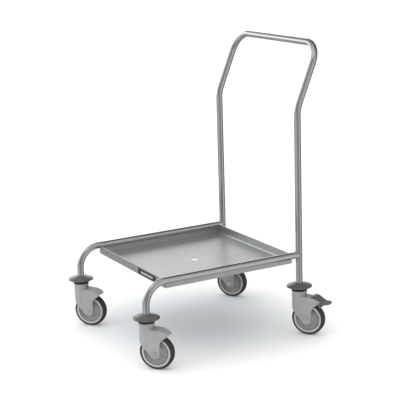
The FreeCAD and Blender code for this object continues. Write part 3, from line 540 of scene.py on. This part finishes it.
def bent_tube(path: Sequence[Vector], radius: float, wall: float, sides: int,
              cope: Callable[[Vector], Vector] | None = None) -> Shape:
    """A hollow tube along a path.

    Args:
        path: the axis.
        radius: outer radius.
        wall: wall thickness.
        sides: facets around the tube.
        cope: how the far end's points are moved to fit what they meet.

    Returns:
        The tube's shape.
    """
    shape = new_shape()
    frames = path_frames(path, False)
    lengths = running_lengths(path)
    shells = []
    for reach in (radius, radius - wall):
        rings = []
        for i, (point, (side, up)) in enumerate(zip(path, frames)):
            spots = [point + reach * (side * c + up * s) for c, s in circle(sides)]
            if cope is not None and i == len(path) - 1:
                spots = [cope(spot) for spot in spots]
            rings.append([shape.verts.new(spot) for spot in spots])
        join_rings(shape, rings, lengths, FULL_TURN * reach)
        shells.append(rings)
    for end in (0, -1):
        join_rings(shape, [shells[0][end], shells[1][end]], [0.0, wall], FULL_TURN * radius)
    return shape


def add_bead(shape: Shape, path: Sequence[Vector], radius: float, closed: bool = False,
             ripple: float = 0.0, pitch: float = 1.0, sides: int = 12) -> None:
    """Add a solid rod along a path, with round ends and, on a weld, ripples.

    Args:
        shape: where the rod goes.
        path: the rod's axis.
        radius: its radius.
        closed: whether it runs back into itself.
        ripple: height of the ripples.
        pitch: distance from ripple to ripple.
        sides: facets around the rod.
    """
    frames = path_frames(path, closed)
    lengths = running_lengths(path, closed)
    rings = []
    for i, (point, (side, up)) in enumerate(zip(path, frames)):
        reach = radius + ripple * math.cos(FULL_TURN * lengths[i] / pitch)
        if not closed:
            from_end = min(lengths[i], lengths[-1] - lengths[i])
            inside = max(0.0, 1.0 - from_end / radius)
            reach *= math.sqrt(max(BEAD_TIP, 1.0 - inside * inside))
        rings.append([shape.verts.new(point + reach * (side * c + up * s)) for c, s in circle(sides)])
    join_rings(shape, rings, lengths, FULL_TURN * radius, closed)
    if not closed:
        shape.faces.new(rings[0])
        shape.faces.new(rings[-1])


def divided(start: Vector, end: Vector, step: float) -> list[Vector]:
    """Points from start to end, no further apart than a step."""
    count = max(2, math.ceil((end - start).length / step))
    return [start.lerp(end, i / count) for i in range(count + 1)]


def add_turned(shape: Shape, outline: Sequence[Vector], place: Matrix, sides: int) -> None:
    """Add a turned ring.

    Args:
        shape: where the ring goes.
        outline: points of radius and height, the last of which joins the first.
        place: carries the Z axis onto the ring's axis.
        sides: facets around the axis.
    """
    rings = []
    for point in outline:
        spots = [Vector((point.x * c, point.x * s, point.y)) for c, s in circle(sides)]
        rings.append([shape.verts.new(place @ spot) for spot in spots])
    girth = FULL_TURN * max(point.x for point in outline)
    join_rings(shape, rings, running_lengths(outline, True), girth, wrap=True, across=True)


def plate(outline: Sequence[Vector], place: Matrix, thickness: float, edge: float) -> Shape:
    """A flat plate with softened edges.

    Args:
        outline: corners of the plate in its own plane.
        place: carries the XY plane onto the plate's back.
        thickness: the plate's thickness.
        edge: how far the front edge is drawn in and down.

    Returns:
        The plate's shape.
    """
    shape = new_shape()
    middle = sum(outline, Vector()) / len(outline)
    rings = []
    heights = (0.0, thickness - edge, thickness)
    for height, inset in zip(heights, (0.0, 0.0, edge)):
        drawn = [point - (point - middle).normalized() * inset + UP * height for point in outline]
        rings.append([shape.verts.new(place @ point) for point in drawn])
    join_rings(shape, rings, heights, girth=1.0)
    shape.faces.new(rings[0])
    shape.faces.new(rings[-1])
    return shape


def add_object(name: str, shape: Shape, material: Material) -> bpy.types.Object:
    """Put a shape into the scene.

    Args:
        name: the object's name.
        shape: its mesh, which is used up.
        material: its surface.

    Returns:
        The new object.
    """
    mesh = bpy.data.meshes.new(name)
    shape.to_mesh(mesh)
    shape.free()
    mesh.materials.append(material)
    item = bpy.data.objects.new(name, mesh)
    bpy.context.scene.collection.objects.link(item)
    return item


def add_piece(name: str, shape: Shape, finish: Finish, body: str, stands_for: Sequence[str] = ()) -> None:
    """Put a piece into the scene on its body.

    Args:
        name: the piece's name.
        shape: its mesh, which is used up.
        finish: its surface.
        body: the body that it moves with.
        stands_for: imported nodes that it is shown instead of.
    """
    bmesh.ops.recalc_face_normals(shape, faces=shape.faces)
    piece = add_object(name, shape, material_of(finish))
    piece.data.shade_smooth()
    piece.data.set_sharp_from_angle(angle=CREASE)
    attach(piece, body)
    if stands_for:
        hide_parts(*stands_for)
    LOG.info("%s rides on %s", name, body)


def dress_packed_nodes() -> None:
    """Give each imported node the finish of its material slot."""
    finishes = {finish.slot: finish for finish in SLOT_FINISHES}
    for name, node in frame["nodes"].items():
        for place in node.material_slots:
            slot = place.material.name.split(".")[0]
            place.material = material_of(finishes[slot])
            LOG.info("%s is finished as %s", name, slot)


@dataclass(frozen=True)
class TubeFrame:
    """Side tubes and push handle, bent from round tube, with the welds between them."""

    leg_bend: float = 0.08
    kink_height: float = 0.85
    kink_bend: float = 0.12
    bar_bend: float = 0.075
    bend_step: float = math.radians(3.0)
    wall: float = 0.0015
    sides: int = 72
    weld_radius: float = 0.0021
    weld_ripple: float = 0.00022
    weld_pitch: float = 0.0016
    weld_points: int = 360

    def build(self) -> None:
        """Make the push handle, both side tubes and their welds."""
        low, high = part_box("left_side_tube")
        radius = (high.x - low.x) / 2.0
        self.build_handle(radius)
        for side in ("left", "right"):
            self.build_side(side, radius)

    def build_handle(self, radius: float) -> None:
        """Bend the handle from one foot over the push bar to the other.

        Args:
            radius: the tube's radius.
        """
        low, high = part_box("push_handle")
        upright_y = low.y + radius
        bar_y = high.y - radius
        bar_z = high.z - radius
        left, right = low.x + radius, high.x - radius
        half = [(upright_y, low.z, 0.0), (upright_y, self.kink_height, self.kink_bend),
                (bar_y, bar_z, self.bar_bend)]
        corners = [(Vector((left, y, z)), bend) for y, z, bend in half]
        corners += [(Vector((right, y, z)), bend) for y, z, bend in reversed(half)]
        path = rounded_path(corners, step=self.bend_step)
        tube = bent_tube(path, radius, self.wall, self.sides)
        add_piece("handle_tube", tube, TUBE, "frame", ["push_handle"])

    def build_side(self, side: str, radius: float) -> None:
        """Bend one side tube, cope its end against the upright and weld it there.

        Args:
            side: left or right.
            radius: the tubes' radius.
        """
        node = f"{side}_side_tube"
        low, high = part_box(node)
        upright_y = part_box("push_handle")[0].y + radius
        axis_x = (low.x + high.x) / 2.0
        leg_y = low.y + radius
        rail_z = high.z - radius

        def on_upright(spot: Vector) -> Vector:
            """The nearest point of the upright's front along the rail."""
            depth = math.sqrt(max(0.0, radius ** 2 - (spot.x - axis_x) ** 2))
            return Vector((spot.x, upright_y - depth, spot.z))

        corners = [(Vector((axis_x, leg_y, low.z)), 0.0), (Vector((axis_x, leg_y, rail_z)), self.leg_bend),
                   (Vector((axis_x, upright_y - radius, rail_z)), 0.0)]
        path = rounded_path(corners, step=self.bend_step)
        tube = bent_tube(path, radius, self.wall, self.sides, on_upright)
        add_piece(f"{side}_rail_tube", tube, TUBE, "frame", [node])
        seam = [on_upright(Vector((axis_x + radius * c, 0.0, rail_z + radius * s)))
                for c, s in circle(self.weld_points)]
        weld = new_shape()
        add_bead(weld, seam, self.weld_radius, True, self.weld_ripple, self.weld_pitch)
        add_piece(f"{side}_rail_weld", weld, WELD, "frame")


@dataclass(frozen=True)
class Tray:
    """Details of the tray in its box: a rounded fold, hemmed edges, stitch welds and the drain's rim."""

    low: Vector
    high: Vector
    hem_radius: float = 0.0015
    hem_inset: float = 0.008
    hem_sink: float = 0.8
    hem_step: float = 0.02
    hem_rounding: tuple[float, ...] = (0.1, 0.3, 0.6)
    hem_sides: int = 20
    sheet: float = 0.0015
    front_lip: float = 0.0315
    weld_radius: float = 0.0019
    weld_length: float = 0.022
    inner_welds: tuple[float, ...] = (0.1, 0.3, 0.5, 0.7, 0.9)
    outer_welds: tuple[float, ...] = (0.07, 0.51, 0.95)
    weld_ripple: float = 0.0002
    weld_pitch: float = 0.0014
    weld_step: float = 0.0004
    drain_radius: float = 0.013
    drain_rim: float = 0.002
    drain_rise: float = 0.0002
    drain_sides: int = 128
    drain_offset: Span = (0.018, -0.006)
    fold_radius: float = 0.01
    fold_steps: int = 12

    def build(self) -> None:
        """Make the tray's details."""
        self.build_fold()
        self.build_hems()
        self.build_stitches()
        self.build_drain()

    def build_fold(self) -> None:
        """Round the inner fold where the floor turns up into the rear wall."""
        low, high = self.low, self.high
        radius = self.fold_radius
        angles = [math.pi / 2.0 * i / self.fold_steps for i in range(self.fold_steps + 1)]
        section = [(radius * (1.0 - math.cos(angle)), radius * (1.0 - math.sin(angle))) for angle in angles]
        section.append((-self.sheet / 2.0, -self.sheet / 2.0))
        ends = [Vector((x, high.y - self.sheet, low.z + self.sheet))
                for x in (low.x + self.sheet, high.x - self.sheet)]
        shape = new_shape()
        rings = [[shape.verts.new(end + Vector((0.0, -forward, height))) for forward, height in section]
                 for end in ends]
        join_rings(shape, rings, running_lengths(ends), math.pi * radius)
        for ring in rings:
            shape.faces.new(ring)
        add_piece("tray_fold", shape, SHEET, "frame")

    def build_hems(self) -> None:
        """Fold the free edges of the front lip and the rear wall."""
        low, high = self.low, self.high
        edges = {"front_lip_hem": (low.y + self.sheet / 2.0, low.z + self.front_lip),
                 "rear_wall_hem": (high.y - self.sheet / 2.0, high.z)}
        for name, (y, top) in edges.items():
            z = top - self.hem_radius * self.hem_sink
            start = Vector((low.x + self.hem_inset, y, z))
            end = Vector((high.x - self.hem_inset, y, z))
            path = divided(start, end, self.hem_step)
            steps = [Vector((self.hem_radius * share, 0.0, 0.0)) for share in self.hem_rounding]
            path[1:1] = [start + step for step in steps]
            path[-1:-1] = [end - step for step in reversed(steps)]
            hem = new_shape()
            add_bead(hem, path, self.hem_radius, sides=self.hem_sides)
            add_piece(name, hem, SHEET, "frame")

    def build_stitches(self) -> None:
        """Weld the side walls to the rails in short stitches, inside and outside."""
        low, high = self.low, self.high
        for side in ("left", "right"):
            tube_low, tube_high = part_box(f"{side}_side_tube")
            axis_x = (tube_low.x + tube_high.x) / 2.0
            radius = (tube_high.x - tube_low.x) / 2.0
            wall_x = low.x if side == "left" else high.x
            inward = 1.0 if side == "left" else -1.0
            welds = new_shape()
            inner_x = wall_x + inward * self.sheet
            for x, shares in ((inner_x, self.inner_welds), (wall_x, self.outer_welds)):
                z = tube_high.z - radius - math.sqrt(radius ** 2 - (x - axis_x) ** 2)
                for share in shares:
                    middle = low.y + (high.y - low.y) * share
                    ends = [Vector((x, middle + end * self.weld_length / 2.0, z)) for end in (-1.0, 1.0)]
                    path = divided(*ends, self.weld_step)
                    add_bead(welds, path, self.weld_radius, False, self.weld_ripple, self.weld_pitch)
            add_piece(f"{side}_wall_welds", welds, WELD, "frame")

    def build_drain(self) -> None:
        """Add a slightly raised rim round the drain."""
        low, high = self.low, self.high
        middle = (low + high) / 2.0
        centre = Vector((middle.x + self.drain_offset[0], middle.y + self.drain_offset[1], low.z))
        inner, outer = self.drain_radius, self.drain_radius + self.drain_rim
        top, under = self.sheet + self.drain_rise, self.sheet - self.drain_rise
        outline = closed_outline(
            (inner, under), (inner, top, self.drain_rise), ((inner + outer) / 2.0, top, self.drain_rise),
            (outer, self.sheet), (outer, under))
        rim = new_shape()
        add_turned(rim, outline, Matrix.Translation(centre), self.drain_sides)
        add_piece("drain_rim", rim, SHEET, "frame")


@dataclass(frozen=True)
class Label:
    """Blank label plate on the front lip: a dark ink field with a bare writing strip."""

    corner: float = 0.002
    edge: float = 0.0003
    strip_length: float = 0.092
    strip_height: float = 0.0075
    strip_corner: float = 0.001
    strip_rise: float = 0.0002

    def build(self) -> None:
        """Make the plate and its writing strip."""
        low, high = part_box("label_plate")
        middle = (low + high) / 2.0
        place = axis_place(Vector((middle.x, high.y, middle.z)), FORWARD)
        field = self.rectangle(high.z - low.z, high.x - low.x, self.corner)
        add_piece("label_field", plate(field, place, high.y - low.y, self.edge), LABEL_INK, "frame",
                  ["label_plate"])
        strip_place = axis_place(Vector((middle.x, low.y + self.strip_rise / 2.0, middle.z)), FORWARD)
        strip = self.rectangle(self.strip_height, self.strip_length, self.strip_corner)
        add_piece("label_writing_strip", plate(strip, strip_place, self.strip_rise, self.strip_rise / 2.0),
                  LABEL_STRIP, "frame")

    @staticmethod
    def rectangle(height: float, length: float, corner: float) -> list[Vector]:
        """A rounded rectangle's outline, its length along X."""
        x, y = length / 2.0, height / 2.0
        return closed_outline((-x, -y, corner), (x, -y, corner), (x, y, corner), (-x, y, corner))


@dataclass(frozen=True)
class TurnedPart:
    """What a caster's turned parts have: their corner, and what carries the Z axis onto their axis."""

    corner: str
    place: Matrix

    def add(self, piece: str, outlines: Sequence[Sequence[SectionCorner]], finish: Finish, body: str,
            node: str | None = None) -> None:
        """Turn outlines into one piece of this corner's caster.

        Args:
            piece: the piece's name, without its corner.
            outlines: corners of a radius, a height and, where they are rounded, a radius.
            finish: the piece's surface.
            body: the body that it moves with.
            node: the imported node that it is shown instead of, without its corner.
        """
        shape = new_shape()
        for outline in outlines:
            add_turned(shape, closed_outline(*outline), self.place, TURNED_SIDES)
        add_piece(f"{self.corner}_{piece}", shape, finish, body, [f"{self.corner}_{node}"] if node else [])


@dataclass(frozen=True)
class Bumper(TurnedPart):
    """Bumper disc at a leg's foot, and the near-black dust seal under it, whose skirt hangs over the neck;
    the seal and its skirt also stand in as painted shade under the disc.
    """

    radius: float = 0.048
    rise: float = 0.0115
    edge: float = 0.004
    edge_round: float = 0.0019
    crown_width: float = 0.005
    crown_round: float = 0.0014
    socket: float = 0.0126
    socket_floor: float = 0.008
    socket_round: float = 0.0006
    hole: float = 0.0061
    underside: float = 0.0275
    seal_height: float = 0.0065
    seal_round: float = 0.0012
    skirt_inner: float = 0.0287
    skirt_outer: float = 0.0295
    painted_shade_skirt_drop: float = 0.0024
    skirt_round: float = 0.0003

    def build(self) -> None:
        """Turn the disc and its seal."""
        low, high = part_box(f"{self.corner}_bumper_disc")
        foot, top = low.z, high.z
        rim_foot = foot + self.rise
        floor = foot + self.socket_floor
        seal_top = foot + self.seal_height
        painted_shade_skirt_foot = foot - self.painted_shade_skirt_drop
        disc = [(self.hole, seal_top), (self.underside, seal_top), (self.radius, rim_foot, self.edge_round),
                (self.radius, rim_foot + self.edge, self.edge_round),
                (self.socket + self.crown_width, top, self.crown_round),
                (self.socket, top, self.socket_round), (self.socket, floor), (self.hole, floor)]
        self.add("bumper", [disc], BUMPER_RUBBER, "frame", "bumper_disc")
        # Painted shade: the near-black seal and its skirt, which hangs below the disc's foot, darken the
        # band under the disc.
        seal = [(self.hole, foot), (self.skirt_inner, foot), (self.skirt_inner, painted_shade_skirt_foot),
                (self.skirt_outer, painted_shade_skirt_foot, self.skirt_round),
                (self.skirt_outer, seal_top, self.seal_round), (self.hole, seal_top)]
        self.add("seal", [seal], SEAL_RUBBER, "frame")


@dataclass(frozen=True)
class Tyre(TurnedPart):
    """Tyre with round shoulders, a mould seam round its tread and a key that sits in the rim."""

    width: float = 0.031
    inner: float = 0.05312
    shoulder: float = 0.009
    lip_drop: float = 0.0005
    lip_width: float = 0.0012
    lip_round: float = 0.0008
    seam_top: float = 0.0008
    seam_floor: float = 0.0004
    seam_depth: float = 0.0003
    key: float = 0.005
    key_depth: float = 0.0025

    def build(self) -> None:
        """Turn the tyre."""
        low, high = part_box(f"{self.corner}_tyre")
        outer, side = (high.z - low.z) / 2.0, self.width / 2.0
        key_floor = self.inner - self.key_depth
        half = [(self.inner, side - self.lip_drop), (self.inner + self.lip_width, side, self.lip_round),
                (outer, side, self.shoulder), (outer, self.seam_top),
                (outer - self.seam_depth, self.seam_floor)]
        inside = [(self.inner, -self.key), (key_floor, -self.key), (key_floor, self.key),
                  (self.inner, self.key)]
        outline = [*half, *turned_over(half[::-1]), *inside]
        self.add("tread", [outline], TYRE_RUBBER, f"{self.corner}_wheel", "tyre")


@dataclass(frozen=True)
class Rim(TurnedPart):
    """Wheel rim: a hub with bearing seats, a web and the ring that carries the tyre."""

    outer: float = 0.0531
    inner: float = 0.0441
    width: float = 0.029
    web: float = 0.008
    fillet: float = 0.002
    hub_radius: float = 0.017
    hub_width: float = 0.03
    hub_taper: float = 0.0004
    hub_round: float = 0.001
    bearing: float = 0.01102
    seat_depth: float = 0.007
    seat_step: float = 0.002
    seat_round: float = 0.0004
    ring_taper: float = 0.0006
    ring_round: float = 0.0012
    edge_round: float = 0.0006
    groove: float = 0.005
    groove_depth: float = 0.0025

    def build(self) -> None:
        """Turn the rim."""
        side, web, hub = self.width / 2.0, self.web / 2.0, self.hub_width / 2.0
        seat = hub - self.seat_depth
        half = [(self.bearing - self.seat_step, seat), (self.bearing, seat),
                (self.bearing, hub, self.seat_round), (self.hub_radius, hub, self.hub_round),
                (self.hub_radius - self.hub_taper, web, self.fillet), (self.inner, web, self.fillet),
                (self.inner + self.ring_taper, side, self.ring_round), (self.outer, side, self.edge_round),
                (self.outer, self.groove), (self.outer - self.groove_depth, self.groove)]
        outline = [*half, *turned_over(half[::-1])]
        self.add("rim", [outline], RIM_NYLON, f"{self.corner}_wheel", "wheel_rim")


@dataclass(frozen=True)
class Guards(TurnedPart):
    """Dished thread guards on both sides of a wheel."""

    bore: float = 0.0045
    hub: float = 0.008
    hub_round: float = 0.0005
    hub_fillet: float = 0.0004
    top: float = 0.019
    face: float = 0.0168
    shelf: float = 0.019
    shelf_round: float = 0.002
    dish: float = 0.0112
    slope: float = 0.011
    foot_round: float = 0.003
    floor_edge: float = 0.035
    floor_round: float = 0.0015
    edge: float = 0.0421
    edge_round: float = 0.0004
    lip: float = 0.0079
    wall: float = 0.0012
    under_round: float = 0.001

    def build(self) -> None:
        """Turn both guards."""
        floor = self.face - self.dish
        foot = self.shelf + self.slope
        lip = floor + self.lip
        under_face, under_floor, inset = self.face - self.wall, floor - self.wall, self.wall / 2.0
        half = [(self.bore, under_face), (self.bore, self.top), (self.hub, self.top, self.hub_round),
                (self.hub, self.face, self.hub_fillet), (self.shelf, self.face, self.shelf_round),
                (foot, floor, self.foot_round), (self.floor_edge, floor, self.floor_round),
                (self.edge, lip, self.edge_round), (self.edge, lip - self.wall),
                (self.floor_edge + inset, under_floor, self.under_round),
                (foot - inset, under_floor, self.foot_round),
                (self.shelf - inset, under_face, self.shelf_round)]
        # The guards' darker grey is partly painted shade in the wheel's recess.
        self.add("guards", [half, turned_over(half)], GUARD_GREY_AND_PAINTED_SHADE, f"{self.corner}_caster", "thread_guards")


@dataclass(frozen=True)
class Caster:
    """One caster's turned pieces: bumper disc and seal, tyre, wheel rim and thread guards."""

    corner: Corner

    def joint(self, motion: str) -> dict:
        """The record's joint of one of this caster's motions."""
        name = f"{self.corner.value}_{motion}"
        return next(j for j in frame["joints"] if j["name"] == name)

    def build(self) -> None:
        """Make this caster's pieces."""
        leg, spin = Vector(self.joint("swivel")["pos_m"]), self.joint("spin")
        wheel = axis_place(Vector(spin["pos_m"]), Vector(spin["axis"]))
        Bumper(self.corner.value, Matrix.Translation((leg.x, leg.y, 0.0))).build()
        for part in (Tyre, Rim, Guards):
            part(self.corner.value, wheel).build()


@dataclass(frozen=True)
class Camera:
    """The view: angles in degrees, focal length in pixels of a 400 pixel frame, place in metres."""

    azimuth: float = 60.9605
    elevation: float = 13.5659
    roll: float = -1.7847
    focal_pixels: float = 1218.98
    frame_pixels: float = 400.0
    sensor: float = 36.0
    location: Triple = (3.864, -2.1303, 1.5705)
    reach: float = 60.0

    def build(self) -> None:
        """Set up the camera."""
        a, e, r = (math.radians(v) for v in (self.azimuth, self.elevation, self.roll))
        level = Vector((math.cos(a), math.sin(a), 0.0))
        back = Vector((math.sin(a) * math.cos(e), -math.cos(a) * math.cos(e), math.sin(e)))
        upright = back.cross(level)
        right = level * math.cos(r) + upright * math.sin(r)
        up = upright * math.cos(r) - level * math.sin(r)
        lens = bpy.data.cameras.new("view")
        lens.sensor_width = self.sensor
        lens.lens = self.sensor * self.focal_pixels / self.frame_pixels
        lens.clip_end = self.reach
        camera = bpy.data.objects.new("view", lens)
        turn = Matrix((right, up, back)).transposed()
        camera.matrix_world = Matrix.Translation(self.location) @ turn.to_4x4()
        bpy.context.scene.collection.objects.link(camera)
        bpy.context.scene.camera = camera


@dataclass(frozen=True)
class Panels:
    """How bright the light tent looks all round, from one height up.

    The foot holds the angles over the horizon where the panels start and where they are full. The
    stops hold compass angles, measured from +X towards +Y, and the tone at each.
    """

    foot: Span
    stops: tuple[Span, ...]

    def build(self, graph: Graph, turn: Socket) -> Socket:
        """The tones round the compass, along a share of a turn from -180 degrees on."""
        return graph.ramp(turn, [((degrees + 180.0) / 360.0, tone) for degrees, tone in self.stops])


GROUND_PANELS = Panels((-90.0, -89.0), ((-180, 0.42), (0, 0.45), (75, 0.5), (180, 0.42)))
FLOOR_PANELS = Panels((-42.0, -30.0), (
    (-180, 0.5), (-157, 0.5), (-125, 0.6), (-101, 0.72), (-65, 0.66), (-46, 0.44),
    (-28, 0.32), (0, 0.34), (12, 0.38), (20, 0.88), (38, 0.88), (48, 0.42), (60, 0.34),
    (77, 0.2), (95, 0.22), (140, 0.3), (165, 0.45), (180, 0.5)))
WALL_PANELS = Panels((-4.0, 4.0), (
    (-180, 1.7), (-165, 1.8), (-148, 1.7), (-135, 1.1), (-110, 0.6), (-80, 0.4), (-55, 0.24),
    (-38, 0.32), (-17, 0.62), (5, 0.68), (29, 0.8), (45, 0.6), (60, 0.3), (75, 0.2),
    (100, 0.18), (128, 0.25), (142, 0.9), (148, 1.65), (165, 1.85), (180, 1.75)))
UPPER_PANELS = Panels((26.0, 34.0), (
    (-180, 0.3), (-165, 0.4), (-140, 0.6), (-108, 0.6), (-60, 0.35), (-30, 0.4), (0, 0.6),
    (25, 0.7), (45, 0.5), (60, 0.2), (80, 0.12), (150, 0.12), (166, 0.15), (180, 0.3)))
LAMP_PANELS = Panels((44.0, 52.0), (
    (-180, 0.4), (-140, 0.6), (-112, 0.8), (-100, 1.3), (-72, 1.3), (-60, 0.8), (0, 0.6),
    (25, 0.7), (45, 0.5), (60, 0.2), (80, 0.12), (150, 0.12), (180, 0.4)))
CEILING_PANELS = Panels((68.0, 85.0), ((-180, 0.6), (0, 0.6), (180, 0.6)))


@dataclass(frozen=True)
class Studio:
    """White floor with a painted shadow under the object, white surroundings, soft light from the front
    left, and a tent of pale and dark panels that only the reflections show."""

    floor_radius: float = 45.0
    floor_segments: int = 96
    floor_roughness: float = 0.9
    floor_colour: Colour = (0.945, 0.955, 0.965)
    floor_lift: float = 0.12
    # Painted shadow: a grey, slightly blue patch on the floor about this centre, fading out within this
    # radius.
    painted_shadow_centre: Span = (-0.09, 0.04)
    painted_shadow_range: Span = (0.1, 0.8)
    painted_shadow_radius: float = 0.62
    painted_shadow_colour: Colour = (0.66, 0.69, 0.713)
    light_from: Triple = (-0.28, -0.65, 0.707)
    light_reach: Span = (-0.6, 1.0)
    light_levels: Span = (0.27, 1.56)
    tent_radius: float = 9.0
    tent_segments: int = 96
    tent_rings: int = 48
    panels: tuple[Panels, ...] = (GROUND_PANELS, FLOOR_PANELS, WALL_PANELS, UPPER_PANELS, LAMP_PANELS,
                                  CEILING_PANELS)

    def build(self) -> None:
        """Make the world, the floor and the tent."""
        bpy.context.scene.view_settings.view_transform = "Standard"
        self.build_world()
        self.build_floor()
        self.build_tent()

    def build_world(self) -> None:
        """White where it is seen, and for matt surfaces a soft light that is strongest on one side."""
        world = bpy.data.worlds.new("studio")
        world.use_nodes = True
        graph = Graph(world.node_tree)
        direction = graph.add("ShaderNodeTexCoord", {}).outputs["Generated"]
        facing = graph.add("ShaderNodeVectorMath", {0: direction, 1: self.light_from},
                           operation="DOT_PRODUCT")
        light = graph.spread(facing.outputs["Value"], *self.light_levels, *self.light_reach)
        background = graph.nodes["Background"]
        background.inputs["Color"].default_value = WHITE
        graph.feed(background.inputs["Strength"], graph.spread(graph.seen_directly(), light, 1.0, 0.0, 1.0))
        bpy.context.scene.world = world

    def build_floor(self) -> None:
        """A pale floor with a painted shadow, a grey patch under the object, that also keeps the cast
        shadow and looks white where it is lit.
        """
        graph = Surface("studio_floor")
        x, y = self.painted_shadow_centre
        per_radius = 1.0 / self.painted_shadow_radius
        spot = graph.add("ShaderNodeMapping", {"Vector": graph.place(),
                                               "Location": (-x * per_radius, -y * per_radius, 0.0),
                                               "Scale": (per_radius, per_radius, per_radius)})
        # Painted shadow: the floor's colour turns to the patch colour towards the patch's centre.
        painted_shadow_fade = graph.add("ShaderNodeTexGradient", {0: spot.outputs["Vector"]}, gradient_type="SPHERICAL")
        colour = graph.blend(graph.spread(painted_shadow_fade.outputs["Fac"], 0.0, 1.0, *self.painted_shadow_range),
                             shade(self.floor_colour), shade(self.painted_shadow_colour))
        graph.dress(Base_Color=colour, Roughness=self.floor_roughness, Specular_IOR_Level=0.0,
                    Emission_Color=WHITE,
                    Emission_Strength=graph.calculate(graph.seen_directly(), self.floor_lift, "MULTIPLY"))
        shape = new_shape()
        bmesh.ops.create_circle(shape, cap_ends=True, segments=self.floor_segments,
                                radius=self.floor_radius)
        floor = self.add_stage("studio_floor", shape, graph.material)
        floor.visible_glossy = False

    def build_tent(self) -> None:
        """Panels all round, on a ball about the object, which light nothing and only mirror in metal."""
        graph = Surface("studio_tent")
        place = graph.place()
        parts = graph.add("ShaderNodeSeparateXYZ", {0: place}).outputs
        turn = graph.spread(graph.calculate(parts[1], parts[0], "ARCTAN2"), 0.0, 1.0, -math.pi, math.pi)
        tone = self.panels[0].build(graph, turn)
        for panels in self.panels[1:]:
            tone = graph.blend(self.above(graph, parts[2], panels.foot), tone, panels.build(graph, turn))
        graph.dress(Base_Color=BLACK, Specular_IOR_Level=0.0, Emission_Color=tone, Emission_Strength=1.0)
        graph.material.cycles.emission_sampling = "NONE"
        shape = new_shape()
        bmesh.ops.create_uvsphere(shape, u_segments=self.tent_segments, v_segments=self.tent_rings,
                                  radius=self.tent_radius)
        tent = self.add_stage("studio_tent", shape, graph.material)
        tent.visible_camera = False
        tent.visible_diffuse = False
        tent.visible_transmission = False
        tent.visible_shadow = False

    def above(self, graph: Graph, height: Socket, foot: Span) -> Socket:
        """0 below the panels' foot, which is two angles over the horizon, and 1 above it."""
        start, end = (self.tent_radius * math.sin(math.radians(angle)) for angle in foot)
        return graph.spread(height, 0.0, 1.0, start, end)

    @staticmethod
    def add_stage(name: str, shape: Shape, material: Material) -> bpy.types.Object:
        """Put a stage object into the scene."""
        stage = add_object(name, shape, material)
        return stage


def main() -> None:
    """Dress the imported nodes, add the pieces and set up the studio."""
    logging.basicConfig(level=logging.INFO, format="%(name)s: %(message)s")
    Camera().build()
    Studio().build()
    dress_packed_nodes()
    TubeFrame().build()
    Tray(*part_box("tray")).build()
    Label().build()
    for corner in Corner:
        Caster(corner).build()


if __name__ == "__main__":
    main()
